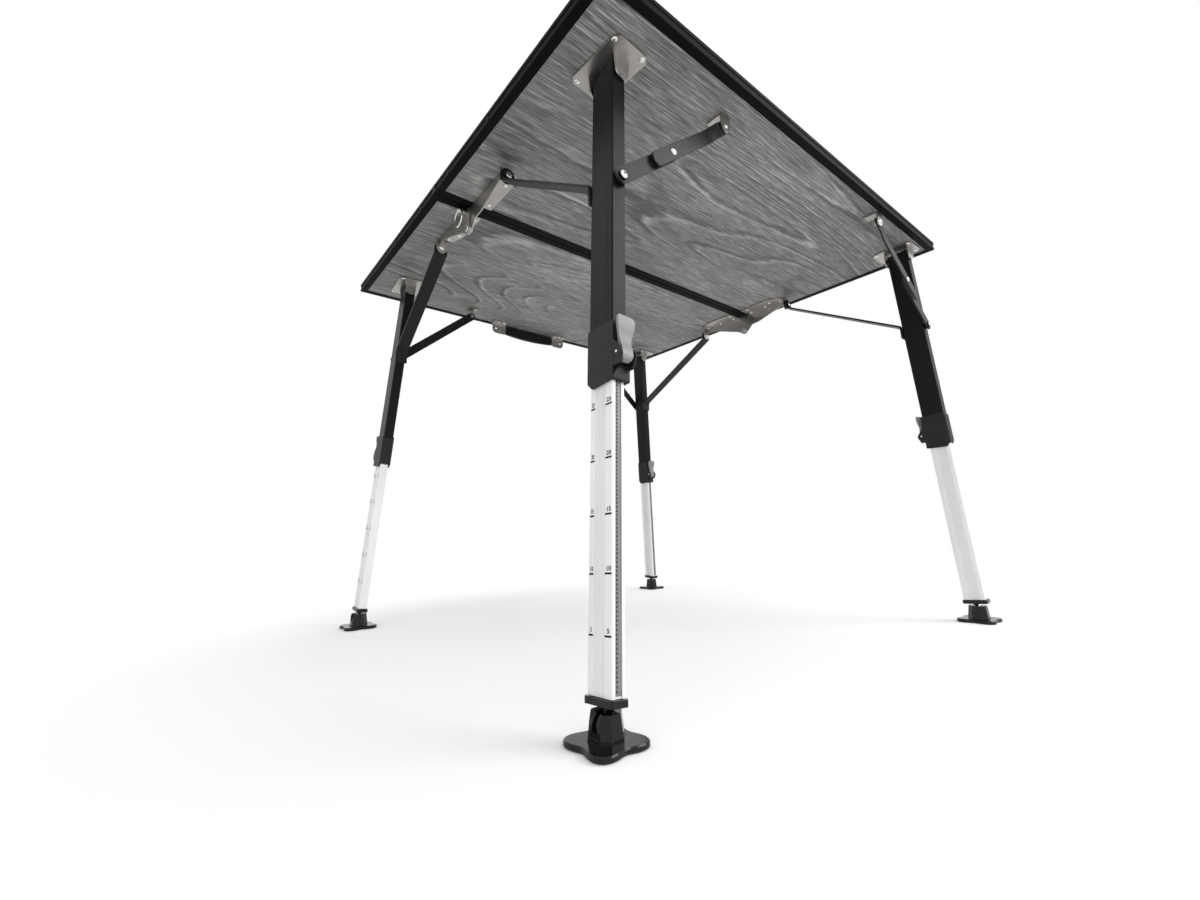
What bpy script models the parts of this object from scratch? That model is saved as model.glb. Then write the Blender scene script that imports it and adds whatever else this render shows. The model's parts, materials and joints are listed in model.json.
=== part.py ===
"""Folding camping table in two halves, standing on four splayed telescopic legs.

Metres, +Z up. X runs across the fold seam and Y along it. The near half lies at +X and the
far half at -X; the front edge faces -Y and the back edge +Y. The origin is on the ground
under the middle of the table with its feet.
"""
import math

import bmesh
import bpy
from mathutils import Matrix, Vector

# Table top
HALF_LENGTH = 0.400
HALF_WIDTH = 0.400
TOP_HEIGHT = 0.690
RAIL_HEIGHT = 0.0157
RAIL_WALL = 0.0022
RAIL_LIP = 0.0013
RAIL_FLANGE = 0.0107
SEAM_FLANGE = 0.0134
RAIL_GROOVE_DEPTH = 0.0009
RAIL_GROOVE_HALF = 0.0020
RAIL_CHAMFER = 0.0008
SEAM_CLEARANCE = 0.0005

# Gap between neighbours, how far fused shapes run into each other, and how far cutters run past
GAP = 0.0003
FUSE = 0.0005
PAST = 0.0100

RAIL_BOTTOM = TOP_HEIGHT - RAIL_HEIGHT
BOARD_BOTTOM = RAIL_BOTTOM + RAIL_LIP + GAP
BOARD_TOP = TOP_HEIGHT - RAIL_LIP - GAP
TONGUE_DROP = 0.0004
PLATE_TOP = BOARD_BOTTOM - GAP
PLATE = 0.0020

# Fold hinge between the halves
HINGE_DROP = 0.0355
HINGE_Z = RAIL_BOTTOM - HINGE_DROP
HINGE_PIN_RADIUS = 0.0030
HINGE_LOBE = 0.0090
HINGE_HEAD_RADIUS = 0.0055
HINGE_HEAD = 0.0020
WEB_START = 0.0142
WEB_END = 0.1110
WEB_EDGE_DROP = 0.0110
WEB_CORNER = 0.0030
FLANGE_BEND = 0.0830
FLANGE_TAPER = 0.0185
TAB_IN = 0.1118
TAB_OUT = 0.1138
TAB_RADIUS = 0.0095
SWING_CLEARANCE = 0.0010

# Spring lock beside the front hinge
LOCK_X = -0.0098
LOCK_DROP = 0.0046
LOCK_NOTCH_X = 0.0064
LOCK_NOTCH_Z = 0.6660
LOCK_RADIUS = 0.0025
LOCK_SOCKET_RADIUS = 0.0040
LOCK_SOCKET = 0.0075
LOCK_KNOB_RADIUS = 0.0038
LOCK_KNOB = 0.0062
RING_RADIUS = 0.0135
RING_WIRE = 0.0011
RING_HOLE = 0.0020

# Leg, measured down from its fold pin
PIVOT_DROP = 0.0145
PIVOT_Z = RAIL_BOTTOM - PIVOT_DROP
SPLAY_X = 0.068
SPLAY_Y = 0.094
UPPER_X = 0.0173
UPPER_Y = 0.0089
UPPER_WALL = 0.0012
UPPER_TOP = -0.0090
UPPER_END = 0.3520
INNER_X = 0.0158
INNER_Y = 0.0072
INNER_WALL = 0.0015
INNER_START = 0.2700
INNER_END = 0.6270
RATCHET_HALF = 0.0036
RATCHET_DEPTH = 0.0008
TUBE_CHAMFER = 0.0012
INNER_CHAMFER = 0.0008
FOLD_PIN_RADIUS = 0.0030

# Leg bracket under the board
BRACKET_CHEEK = 0.0196
BRACKET_CHEEK_HALF = 0.0110
BRACKET_INNER_WING = 0.0380
BRACKET_HALF_DEPTH = 0.0250
BRACKET_LOBE = 0.0095
BRACKET_CORNER = 0.0060
PIN_STUB = 0.0006

# Sleeve and release lever on the upper tube
SLEEVE_TOP = 0.3000
SLEEVE_BOTTOM = 0.3605
SLEEVE_FRONT_BOTTOM = 0.3585
SLEEVE_BACK = 0.0192
SLEEVE_FRONT = 0.0200
SLEEVE_Y = 0.0105
SLEEVE_LIP = 0.3545
SLEEVE_CORNER = 0.0040
SLEEVE_TAPER = 0.0080
SLEEVE_SIDE_CHAMFER = 0.0020
SLEEVE_EDGE = 0.0010
WINDOW_TOP = 0.3220
WINDOW_BOTTOM = 0.3436
WINDOW_HALF = 0.0076
EAR_TOP = 0.3205
EAR_MIDDLE = 0.3355
EAR_ROUND = 0.0030
EAR_TIP = 0.0308
EAR_HEEL = 0.0262
EAR_BOTTOM = 0.3470
EAR_THICKNESS = 0.0024
LEVER_PIN_X = 0.0245
LEVER_PIN_S = 0.3345
LEVER_PIN_RADIUS = 0.0016
LEVER_HALF_TOP = 0.0106
LEVER_FRONT = ((0.0075, 0.2972), (0.0098, 0.2984), (0.0106, 0.3010), (0.0103, 0.3065),
               (0.0088, 0.3135), (0.0072, 0.3200), (0.0064, 0.3275), (0.0066, 0.3360),
               (0.0056, 0.3405), (0.0030, 0.3435))
LEVER_PROFILE = ((0.0246, 0.3000), (0.0252, 0.2975), (0.0268, 0.2972), (0.0276, 0.3030),
                 (0.0270, 0.3110), (0.0258, 0.3190), (0.0268, 0.3250), (0.0289, 0.3310),
                 (0.0296, 0.3370), (0.0285, 0.3412), (0.0260, 0.3434), (0.0225, 0.3425),
                 (0.0212, 0.3390), (0.0212, 0.3300), (0.0225, 0.3230), (0.0240, 0.3120))

# End cap, ball and foot
CAP_TOP = 0.6275
CAP_BOTTOM = 0.6333
CAP_X = 0.0183
CAP_Y = 0.0095
CAP_CHAMFER = 0.0020
PLUG_LENGTH = 0.0120
BALL_HEIGHT = 0.0158
BALL_RADIUS = 0.0064
SOCKET_RADIUS = 0.0069
STEM_RADIUS = 0.0022
BOSS_END = 0.6358
BOSS_TIP_RADIUS = 0.0038
BOSS_BASE_RADIUS = 0.0075
HUB_TOP = 0.0268
HUB_SIDES = 8
HUB_TOP_RADIUS = 0.0134
HUB_BOTTOM_RADIUS = 0.0161
HUB_MOUTH = 0.0052
HUB_MOUTH_FLARE = 0.0020
HUB_FLAT = 0.0124
HUB_SHOULDER = 0.0150
FOLD_SWEEP = 100
SLOT_HALF = 0.0027
SLOT_EYE = 0.0036
STAR_LOBES = 4
STAR_POINTS = 40
STAR_MEAN = 0.0302
STAR_SWING = 0.0050
STAR_THICKNESS = 0.0055
STAR_EDGE = 0.0012

# Knee brace beside each leg, and long brace from the leg to the hinge plate
LEG_SCREW_S = 0.1380
SPACER_RADIUS = 0.0055
STUD_RADIUS = 0.0030
SPACER_END = 0.0203
LOWER_IN = 0.0206
LOWER_OUT = 0.0231
SCREW_HEAD_OUT = 0.0250
UPPER_IN = 0.0259
UPPER_OUT = 0.0284
BRACE_HALF = 0.0084
BRACE_LOWER = 0.0996
BRACE_OVERLAP = 0.0340
BRACE_INWARD = 0.1560
BRACE_RISE = 0.0015
BRACE_BEND_START = 0.0300
BRACE_BEND_END = 0.0140
BRACE_PIN_RADIUS = 0.0026
EAR_PLATE = 0.0020
EAR_CLEARANCE = 0.0012
RIVET_HEAD_RADIUS = 0.0042
RIVET_HEAD = 0.0015
EAR_HALF = 0.0080
EAR_BASE = 0.0200
STRIP_HALF = 0.0110
STRIP_THICKNESS = 0.0030
LUG_IN = 0.1160
LUG_SCREW_RADIUS = 0.0025
LUG_WASHER_RADIUS = 0.0045
LUG_STRAIGHT = 0.0080
LUG_HEAD_RADIUS = 0.0052
LUG_HEAD = 0.0030
LUG_ROOT = 0.0050
STRIP_BEND = 0.0050
STRIP_BEND_IN = 0.0020
STRIP_TAB_TOP = 0.1325
STRIP_TAB_END = 0.1510

# Carrying handle at the far edge
HANDLE_WEB_X = 0.3840
HANDLE_FLANGE_IN = 0.3700
HANDLE_FLANGE_OUT = 0.3880
HANDLE_GRIP_THICKNESS = 0.0080
HANDLE_GRIP_TOP = 0.6712
HANDLE_GRIP_BOTTOM = 0.6485
HANDLE_GRIP_END_BOTTOM = 0.6545
HANDLE_GRIP_STEPS = 12
HANDLE_LAP = 0.0120
HANDLE_CORNER_OUT = 0.0110
HANDLE_CORNER_IN = 0.0070
HANDLE_HOLE_IN = 0.0095
HANDLE_HOLE_Z = 0.6600
HANDLE_FRONT = -0.1060
HANDLE_BACK = 0.1000
HANDLE_BRACKET = 0.0360
HANDLE_HOLE_RADIUS = 0.0022

# Where each side of the table carries its fittings
SIDES = {
    "front": {
        "sign": -1,
        "pivot": (0.3210, 0.3284),
        "lug_y": 0.3417,
        "wing": 0.0400,
        "web_faces": {"near": 0.3420, "far": 0.3443},
        "web_edge": {"near": 0.0122, "far": 0.0045},
        "flange_depth": 0.0280,
        "lever_side": 1,
        "brace_end": 0.3560,
        "long_brace_y": 0.3417,
    },
    "back": {
        "sign": 1,
        "pivot": (0.3555, 0.3520),
        "lug_y": 0.3620,
        "wing": 0.0300,
        "web_faces": {"near": 0.3660, "far": 0.3637},
        "web_edge": {"near": 0.0045, "far": 0.0140},
        "flange_depth": 0.0330,
        "lever_side": -1,
        "brace_end": 0.3835,
        "long_brace_y": 0.3640,
    },
}
HALVES = {"near": 1, "far": -1}
OUTER_WEB_DEPTH = {"near": 0.0105, "far": 0.0105}
WEB_UNDERSIDE = {
    "near": ((0.0115, 0.0373), (0.0215, 0.0275), (0.0400, 0.0260), (0.0980, 0.0105)),
    "far": ((0.0180, 0.0345), (0.0880, 0.0105)),
}

# The feet of the back legs stand further out, so the table is set back by half of that
FOOT_FRONT = SIDES["front"]["pivot"][1] + SPLAY_Y * PIVOT_Z
FOOT_BACK = SIDES["back"]["pivot"][1] + SPLAY_Y * PIVOT_Z
CENTRE_SHIFT = (FOOT_FRONT - FOOT_BACK) / 2

COLOURS = {
    "laminate": ((0.22, 0.21, 0.20), 0.55, 0.0),
    "black_rail": ((0.018, 0.019, 0.022), 0.38, 0.6),
    "black_brace": ((0.012, 0.012, 0.014), 0.42, 0.5),
    "dark_sleeve": ((0.030, 0.030, 0.032), 0.50, 0.0),
    "grey_lever": ((0.36, 0.36, 0.36), 0.45, 0.0),
    "silver_tube": ((0.75, 0.77, 0.78), 0.35, 0.9),
    "steel_plate": ((0.38, 0.36, 0.34), 0.38, 1.0),
    "bright_steel": ((0.70, 0.69, 0.67), 0.25, 1.0),
    "black_foot": ((0.010, 0.010, 0.011), 0.22, 0.0),
    "black_grip": ((0.008, 0.008, 0.009), 0.35, 0.0),
}


def clear_scene():
    for item in list(bpy.data.objects):
        bpy.data.objects.remove(item, do_unlink=True)


def make_material(name):
    colour, roughness, metallic = COLOURS[name]
    material = bpy.data.materials.get(name) or bpy.data.materials.new(name)
    material.use_nodes = True
    shader = material.node_tree.nodes["Principled BSDF"]
    shader.inputs["Base Color"].default_value = (*colour, 1.0)
    shader.inputs["Roughness"].default_value = roughness
    shader.inputs["Metallic"].default_value = metallic
    return material


def object_from(bm, name):
    bmesh.ops.recalc_face_normals(bm, faces=bm.faces)
    mesh = bpy.data.meshes.new(name)
    bm.to_mesh(mesh)
    bm.free()
    item = bpy.data.objects.new(name, mesh)
    bpy.context.collection.objects.link(item)
    return item


AXES = {
    "X": Matrix(((0, 0, 1, 0), (1, 0, 0, 0), (0, 1, 0, 0), (0, 0, 0, 1))),
    "Y": Matrix(((1, 0, 0, 0), (0, 0, 1, 0), (0, 1, 0, 0), (0, 0, 0, 1))),
    "Z": Matrix.Identity(4),
}


def prism(name, outline, low, high, axis="Z"):
    """Extrude an outline from low to high. The outline is (x, y) for Z, (x, z) for Y, (y, z) for X."""
    bm = bmesh.new()
    corners = [bm.verts.new((u, v, low)) for u, v in outline]
    face = bm.faces.new(corners)
    grown = bmesh.ops.extrude_face_region(bm, geom=[face])
    moved = [item for item in grown["geom"] if isinstance(item, bmesh.types.BMVert)]
    bmesh.ops.translate(bm, verts=moved, vec=(0, 0, high - low))
    bmesh.ops.transform(bm, matrix=AXES[axis], verts=bm.verts)
    return object_from(bm, name)


def box(name, x_range, y_range, z_range):
    outline = [(x_range[0], y_range[0]), (x_range[1], y_range[0]),
               (x_range[1], y_range[1]), (x_range[0], y_range[1])]
    return prism(name, outline, *z_range)


def arc(centre, radius, start, end, count):
    step = math.radians(end - start) / count
    first = math.radians(start)
    return [(centre[0] + radius * math.cos(first + step * k),
             centre[1] + radius * math.sin(first + step * k)) for k in range(count + 1)]


def rod(name, start, end, radius, count=16, end_radius=None):
    """Round bar or cone between two points."""
    start = Vector(start)
    run = Vector(end) - start
    bm = bmesh.new()
    bmesh.ops.create_cone(bm, cap_ends=True, segments=count, radius1=radius,
                          radius2=radius if end_radius is None else end_radius, depth=run.length)
    turn = run.to_track_quat("Z", "Y").to_matrix().to_4x4()
    bmesh.ops.transform(bm, matrix=Matrix.Translation(start + run / 2) @ turn, verts=bm.verts)
    return object_from(bm, name)


def ball(name, centre, radius, rings=8, segments=16):
    bm = bmesh.new()
    bmesh.ops.create_uvsphere(bm, u_segments=segments, v_segments=rings, radius=radius,
                              matrix=Matrix.Translation(centre))
    return object_from(bm, name)


def combine(base, tool, operation):
    """Exact Boolean of a tool on a base; the tool is used up."""
    modifier = base.modifiers.new("Join", "BOOLEAN")
    modifier.operation = operation
    modifier.solver = "EXACT"
    modifier.object = tool
    bpy.context.view_layer.update()
    evaluated = base.evaluated_get(bpy.context.evaluated_depsgraph_get())
    result = bpy.data.meshes.new_from_object(evaluated)
    base.modifiers.clear()
    base.data = result
    bpy.data.objects.remove(tool, do_unlink=True)
    return base


def add(base, *tools):
    for tool in tools:
        combine(base, tool, "UNION")
    return base


def cut(base, *tools):
    for tool in tools:
        combine(base, tool, "DIFFERENCE")
    return base


def chamfered(half_x, half_y, chamfer):
    """Rectangle with cut corners, round the origin."""
    return [(half_x, -half_y + chamfer), (half_x, half_y - chamfer),
            (half_x - chamfer, half_y), (-half_x + chamfer, half_y),
            (-half_x, half_y - chamfer), (-half_x, -half_y + chamfer),
            (-half_x + chamfer, -half_y), (half_x - chamfer, -half_y)]


def settle(item, colour, root, matrix, mirror=(1, 1), pivot=(0, 0, 0)):
    """Move a shape's pivot to its origin, mirror it, and place it under the root."""
    mesh = item.data
    mesh.transform(Matrix.Translation(-Vector(pivot)))
    mesh.transform(Matrix.Diagonal((mirror[0], mirror[1], 1, 1)))
    if mirror[0] * mirror[1] < 0:
        mesh.flip_normals()
    mesh.materials.clear()
    mesh.materials.append(make_material(colour))
    mesh.shade_smooth()
    mesh.set_sharp_from_angle(angle=math.radians(32))
    item.parent = root
    item.matrix_basis = matrix
    return item


def fold_line(side, distance):
    """Point of a leg's fold axis at a distance from the seam, for the near back quarter."""
    pivot_x, pivot_y = SIDES[side]["pivot"]
    lug_x = LUG_IN + STRIP_THICKNESS / 2
    lug_y = SIDES[side]["lug_y"]
    share = (distance - lug_x) / (pivot_x - lug_x)
    return (distance, lug_y + share * (pivot_y - lug_y), PIVOT_Z)


class Leg:
    """Frame of one leg: outward along X, inward along Y, and s down the leg from its fold pin."""

    def __init__(self, half, side):
        self.half = HALVES[half]
        self.side = SIDES[side]["sign"]
        pivot_x, pivot_y = SIDES[side]["pivot"]
        self.pivot = Vector((self.half * pivot_x, self.side * pivot_y, PIVOT_Z))
        down = Vector((self.half * SPLAY_X, self.side * SPLAY_Y, -1)).normalized()
        up = -down
        across = (Vector((1, 0, 0)) - up.x * up).normalized()
        self.turn = Matrix((across, up.cross(across), up)).transposed()
        self.mirror = (self.half, -self.side)
        lug_x, lug_y, _ = fold_line(side, LUG_IN + STRIP_THICKNESS / 2)
        self.axis = (self.pivot - Vector((self.half * lug_x, self.side * lug_y, PIVOT_Z))).normalized()
        inward = self.side * (pivot_y - BRACE_INWARD)
        self.brace_end = Vector((self.half * SIDES[side]["brace_end"], inward, PIVOT_Z + BRACE_RISE))

    def place(self, outward, inward, s):
        """Matrix of a piece whose origin is at a point of the leg frame."""
        local = Vector((self.mirror[0] * outward, self.mirror[1] * inward, -s))
        return Matrix.Translation(self.pivot + self.turn @ local) @ self.turn.to_4x4()

    def direction(self, world):
        """A world direction in the leg's own outward, inward and up axes."""
        local = self.turn.transposed() @ world
        return Vector((self.mirror[0] * local.x, self.mirror[1] * local.y, local.z))

    def to_world(self, outward, inward, s):
        return self.place(outward, inward, s).translation

    def ball_distance(self):
        """Distance down the leg to the centre of the foot's ball."""
        return (PIVOT_Z - BALL_HEIGHT) * math.sqrt(1 + SPLAY_X ** 2 + SPLAY_Y ** 2)


def make_board(half, root):
    """Board with a slightly thinner tongue all round, which sits under the lip of the rails."""
    inset = RAIL_WALL + GAP
    shape = box(f"{half}_board", (SEAM_CLEARANCE + inset, HALF_LENGTH - inset),
                (-HALF_WIDTH + inset, HALF_WIDTH - inset), (BOARD_BOTTOM, BOARD_TOP - TONGUE_DROP))
    side = RAIL_FLANGE + GAP
    field = box("field", (SEAM_CLEARANCE + SEAM_FLANGE + GAP, HALF_LENGTH - side),
                (-HALF_WIDTH + side, HALF_WIDTH - side), (BOARD_BOTTOM + TONGUE_DROP, BOARD_TOP))
    add(shape, field)
    settle(shape, "laminate", root, Matrix.Identity(4), (HALVES[half], 1))


def rail_profile(flange):
    """Section of the edge rail: distance in from the outer face, and height."""
    middle = (RAIL_BOTTOM + TOP_HEIGHT) / 2
    return [(0, RAIL_BOTTOM + RAIL_CHAMFER), (0, middle - RAIL_GROOVE_HALF),
            (RAIL_GROOVE_DEPTH, middle - RAIL_GROOVE_HALF),
            (RAIL_GROOVE_DEPTH, middle + RAIL_GROOVE_HALF),
            (0, middle + RAIL_GROOVE_HALF), (0, TOP_HEIGHT - RAIL_CHAMFER),
            (RAIL_CHAMFER, TOP_HEIGHT), (flange, TOP_HEIGHT), (flange, TOP_HEIGHT - RAIL_LIP),
            (RAIL_WALL, TOP_HEIGHT - RAIL_LIP), (RAIL_WALL, RAIL_BOTTOM + RAIL_LIP),
            (flange, RAIL_BOTTOM + RAIL_LIP), (flange, RAIL_BOTTOM), (RAIL_CHAMFER, RAIL_BOTTOM)]


def make_edge_frame(half, root):
    """Four mitred rails in one frame; the rail at the seam has the wider flange."""
    plain = rail_profile(RAIL_FLANGE)
    seam = rail_profile(SEAM_FLANGE)
    bm = bmesh.new()
    rings = []
    for at_seam, front in ((True, True), (False, True), (False, False), (True, False)):
        ring = []
        for plain_point, seam_point in zip(plain, seam):
            x = SEAM_CLEARANCE + seam_point[0] if at_seam else HALF_LENGTH - plain_point[0]
            y = HALF_WIDTH - plain_point[0]
            ring.append(bm.verts.new((x, -y if front else y, plain_point[1])))
        rings.append(ring)
    count = len(plain)
    for k, ring in enumerate(rings):
        following = rings[(k + 1) % len(rings)]
        for j in range(count):
            j_next = (j + 1) % count
            bm.faces.new((ring[j], ring[j_next], following[j_next], following[j]))
    shape = object_from(bm, f"{half}_edge_frame")
    settle(shape, "black_rail", root, Matrix.Identity(4), (HALVES[half], 1))


def hinge_web_outline(half, side):
    """Upright web of a hinge plate: distance from the seam, and height."""
    top = RAIL_BOTTOM - SWING_CLEARANCE
    edge = SIDES[side]["web_edge"][half]
    points = [(WEB_END, PLATE_TOP), (WEB_START, PLATE_TOP), (WEB_START, top), (-WEB_CORNER, top)]
    if half == "near" and side == "front":
        points += [(-LOCK_NOTCH_X, top - WEB_CORNER), (-LOCK_NOTCH_X, LOCK_NOTCH_Z)]
        points += [(-edge, LOCK_NOTCH_Z - PLATE / 2), (-edge, HINGE_Z + WEB_EDGE_DROP)]
        points += arc((0, HINGE_Z), HINGE_LOBE, 180, 322, 9)
    elif edge > HINGE_LOBE:
        points += [(-edge, top - WEB_CORNER), (-edge, HINGE_Z + WEB_EDGE_DROP)]
        points += arc((0, HINGE_Z), HINGE_LOBE, 180, 322, 9)
    else:
        points += [(-edge, top - WEB_CORNER), (-edge, HINGE_Z + math.sqrt(HINGE_LOBE ** 2 - edge ** 2))]
        points += arc((0, HINGE_Z), HINGE_LOBE, 125, 322, 12)[1:]
    points += [(distance, RAIL_BOTTOM - depth) for distance, depth in WEB_UNDERSIDE[half]]
    points += [(WEB_END, RAIL_BOTTOM - OUTER_WEB_DEPTH[half] + PLATE / 2)]
    return points


def make_hinge_plate(half, side, root):
    """Steel plate with a flange under the board, a web to the fold pin and a tab for the brace."""
    data = SIDES[side]
    face = data["web_faces"][half]
    name = f"{half}_{side}_hinge_plate"
    plate = prism(name, hinge_web_outline(half, side), face, face + PLATE, "Y")
    inner = face - data["flange_depth"]
    flange = [(WEB_START, face + PLATE), (WEB_START, inner), (FLANGE_BEND, inner),
              (WEB_END - PLATE, face - FLANGE_TAPER), (WEB_END, face + PLATE)]
    add(plate, prism("flange", flange, PLATE_TOP - PLATE, PLATE_TOP))
    lug_y = data["lug_y"]
    tab = [(lug_y + TAB_RADIUS, PLATE_TOP - PLATE), (lug_y - TAB_RADIUS, PLATE_TOP - PLATE)]
    tab += arc((lug_y, PIVOT_Z), TAB_RADIUS, 180, 360, 10)
    add(plate, prism("tab", tab, TAB_IN, TAB_OUT, "X"))
    bridge_bottom = RAIL_BOTTOM - OUTER_WEB_DEPTH[half] + PLATE / 2
    add(plate, box("bridge", (WEB_END - 2 * FUSE, TAB_IN + FUSE), (face, face + PLATE),
                   (bridge_bottom, PLATE_TOP - PLATE)))
    hole = HINGE_PIN_RADIUS + GAP
    cut(plate, rod("hole", (0, face - PLATE, HINGE_Z), (0, face + 2 * PLATE, HINGE_Z), hole))
    screw = LUG_SCREW_RADIUS + GAP
    cut(plate, rod("hole", fold_line(side, TAB_IN - PLATE), fold_line(side, TAB_OUT + PLATE), screw))
    if half == "far" and side == "front":
        lock_z = RAIL_BOTTOM - LOCK_DROP
        socket_end = face + PLATE + LOCK_SOCKET
        add(plate, rod("socket", (-LOCK_X, face + PLATE / 2, lock_z), (-LOCK_X, socket_end, lock_z),
                       LOCK_SOCKET_RADIUS))
        cut(plate, rod("bore", (-LOCK_X, face - PLATE, lock_z), (-LOCK_X, socket_end + PLATE, lock_z),
                       LOCK_RADIUS + GAP))
    settle(plate, "steel_plate", root, Matrix.Identity(4), (HALVES[half], data["sign"]))


def make_hinge_pin(side, root):
    """Riveted pin of the fold, with a head outside each plate."""
    data = SIDES[side]
    low = min(data["web_faces"].values()) - GAP
    high = max(data["web_faces"].values()) + PLATE + GAP
    pin = rod(f"{side}_hinge_pin", (0, low - HINGE_HEAD / 2, 0), (0, high + HINGE_HEAD / 2, 0),
              HINGE_PIN_RADIUS)
    add(pin, rod("head", (0, low - HINGE_HEAD, 0), (0, low, 0), HINGE_HEAD_RADIUS),
        rod("head", (0, high, 0), (0, high + HINGE_HEAD, 0), HINGE_HEAD_RADIUS))
    settle(pin, "bright_steel", root, Matrix.Translation((0, 0, HINGE_Z)), (1, data["sign"]))


def make_lock(root):
    """Spring plunger of the fold lock and the ring that pulls it."""
    face = SIDES["front"]["web_faces"]["far"]
    socket_end = face + PLATE + LOCK_SOCKET
    knob_start = socket_end + GAP
    knob_end = knob_start + LOCK_KNOB
    tip = SIDES["front"]["web_faces"]["near"]
    plunger = rod("lock_plunger", (0, tip, 0), (0, knob_start + GAP, 0), LOCK_RADIUS)
    add(plunger, rod("knob", (0, knob_start, 0), (0, knob_end, 0), LOCK_KNOB_RADIUS))
    ring_y = (knob_start + knob_end) / 2
    cut(plunger, rod("eye", (-PAST, ring_y, 0), (PAST, ring_y, 0), RING_HOLE))
    lock_z = RAIL_BOTTOM - LOCK_DROP
    settle(plunger, "bright_steel", root, Matrix.Translation((LOCK_X, 0, lock_z)), (1, -1))
    bm = bmesh.new()
    section = [bm.verts.new((RING_RADIUS + RING_WIRE * math.cos(a), 0, RING_WIRE * math.sin(a)))
               for a in (math.tau * k / 8 for k in range(8))]
    loop = [bm.edges.new((section[k], section[(k + 1) % 8])) for k in range(8)]
    bmesh.ops.spin(bm, geom=section + loop, cent=(0, 0, 0), axis=(0, 0, 1), angle=math.tau,
                   steps=28, use_merge=True)
    bmesh.ops.remove_doubles(bm, verts=bm.verts, dist=1e-6)
    bmesh.ops.transform(bm, matrix=Matrix.Rotation(math.pi / 2, 4, "X"), verts=bm.verts)
    bmesh.ops.translate(bm, verts=bm.verts, vec=(0, 0, -RING_RADIUS))
    ring = object_from(bm, "lock_pull_ring")
    settle(ring, "bright_steel", root, Matrix.Translation((LOCK_X, -ring_y, lock_z)))


def make_leg_bracket(name, leg, side, root):
    """Channel under the board that holds the leg's fold pin, lined up with the fold axis."""
    plate_top = PLATE_TOP - PIVOT_Z
    half_depth = BRACKET_HALF_DEPTH
    wing = SIDES[side]["wing"]
    middle = (wing - BRACKET_INNER_WING) / 2
    outline = [(middle + x, y) for x, y in
               chamfered((wing + BRACKET_INNER_WING) / 2, half_depth, BRACKET_CORNER)]
    bracket = prism(name, outline, plate_top - PLATE, plate_top)
    cheek = [(BRACKET_CHEEK_HALF, plate_top - PLATE / 2), (-BRACKET_CHEEK_HALF, plate_top - PLATE / 2)]
    cheek += arc((0, 0), BRACKET_LOBE, 180, 360, 10)
    outer = BRACKET_CHEEK + PLATE
    add(bracket, prism("cheek", cheek, BRACKET_CHEEK, outer, "X"),
        prism("cheek", cheek, -outer, -BRACKET_CHEEK, "X"),
        rod("pin", (-outer - PIN_STUB, 0, 0), (outer + PIN_STUB, 0, 0), FOLD_PIN_RADIUS))
    across = leg.axis * (1 if leg.axis.x * leg.half > 0 else -1) * leg.half
    along = Vector((0, 0, 1)).cross(across)
    turn = Matrix((across, along, Vector((0, 0, 1)))).transposed().to_4x4()
    settle(bracket, "steel_plate", root, Matrix.Translation(leg.pivot) @ turn, leg.mirror)


def fold_axis(leg):
    axis = leg.direction(leg.axis)
    return axis if axis.x > 0 else -axis


def make_upper_tube(name, leg, root):
    """Black upper tube with the stud that carries the knee brace."""
    tube = prism(name, chamfered(UPPER_X, UPPER_Y, TUBE_CHAMFER), -UPPER_END, -UPPER_TOP)
    inner_x = UPPER_X - UPPER_WALL
    inner_y = UPPER_Y - UPPER_WALL
    axis = fold_axis(leg)
    pin = axis * (UPPER_X + PAST)
    add(tube, rod("spacer", (UPPER_X - FUSE, 0, -LEG_SCREW_S), (SPACER_END, 0, -LEG_SCREW_S),
                  SPACER_RADIUS),
        rod("shank", (UPPER_X, 0, -LEG_SCREW_S), (SCREW_HEAD_OUT - FUSE, 0, -LEG_SCREW_S), STUD_RADIUS),
        rod("head", (LOWER_OUT + GAP, 0, -LEG_SCREW_S), (SCREW_HEAD_OUT, 0, -LEG_SCREW_S), SPACER_RADIUS))
    cut(tube, box("bore", (-inner_x, inner_x), (-inner_y, inner_y), (-UPPER_END - PAST, PAST - UPPER_TOP)),
        rod("pin_hole", -pin, pin, FOLD_PIN_RADIUS + GAP))
    settle(tube, "black_rail", root, leg.place(0, 0, 0), leg.mirror)


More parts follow.
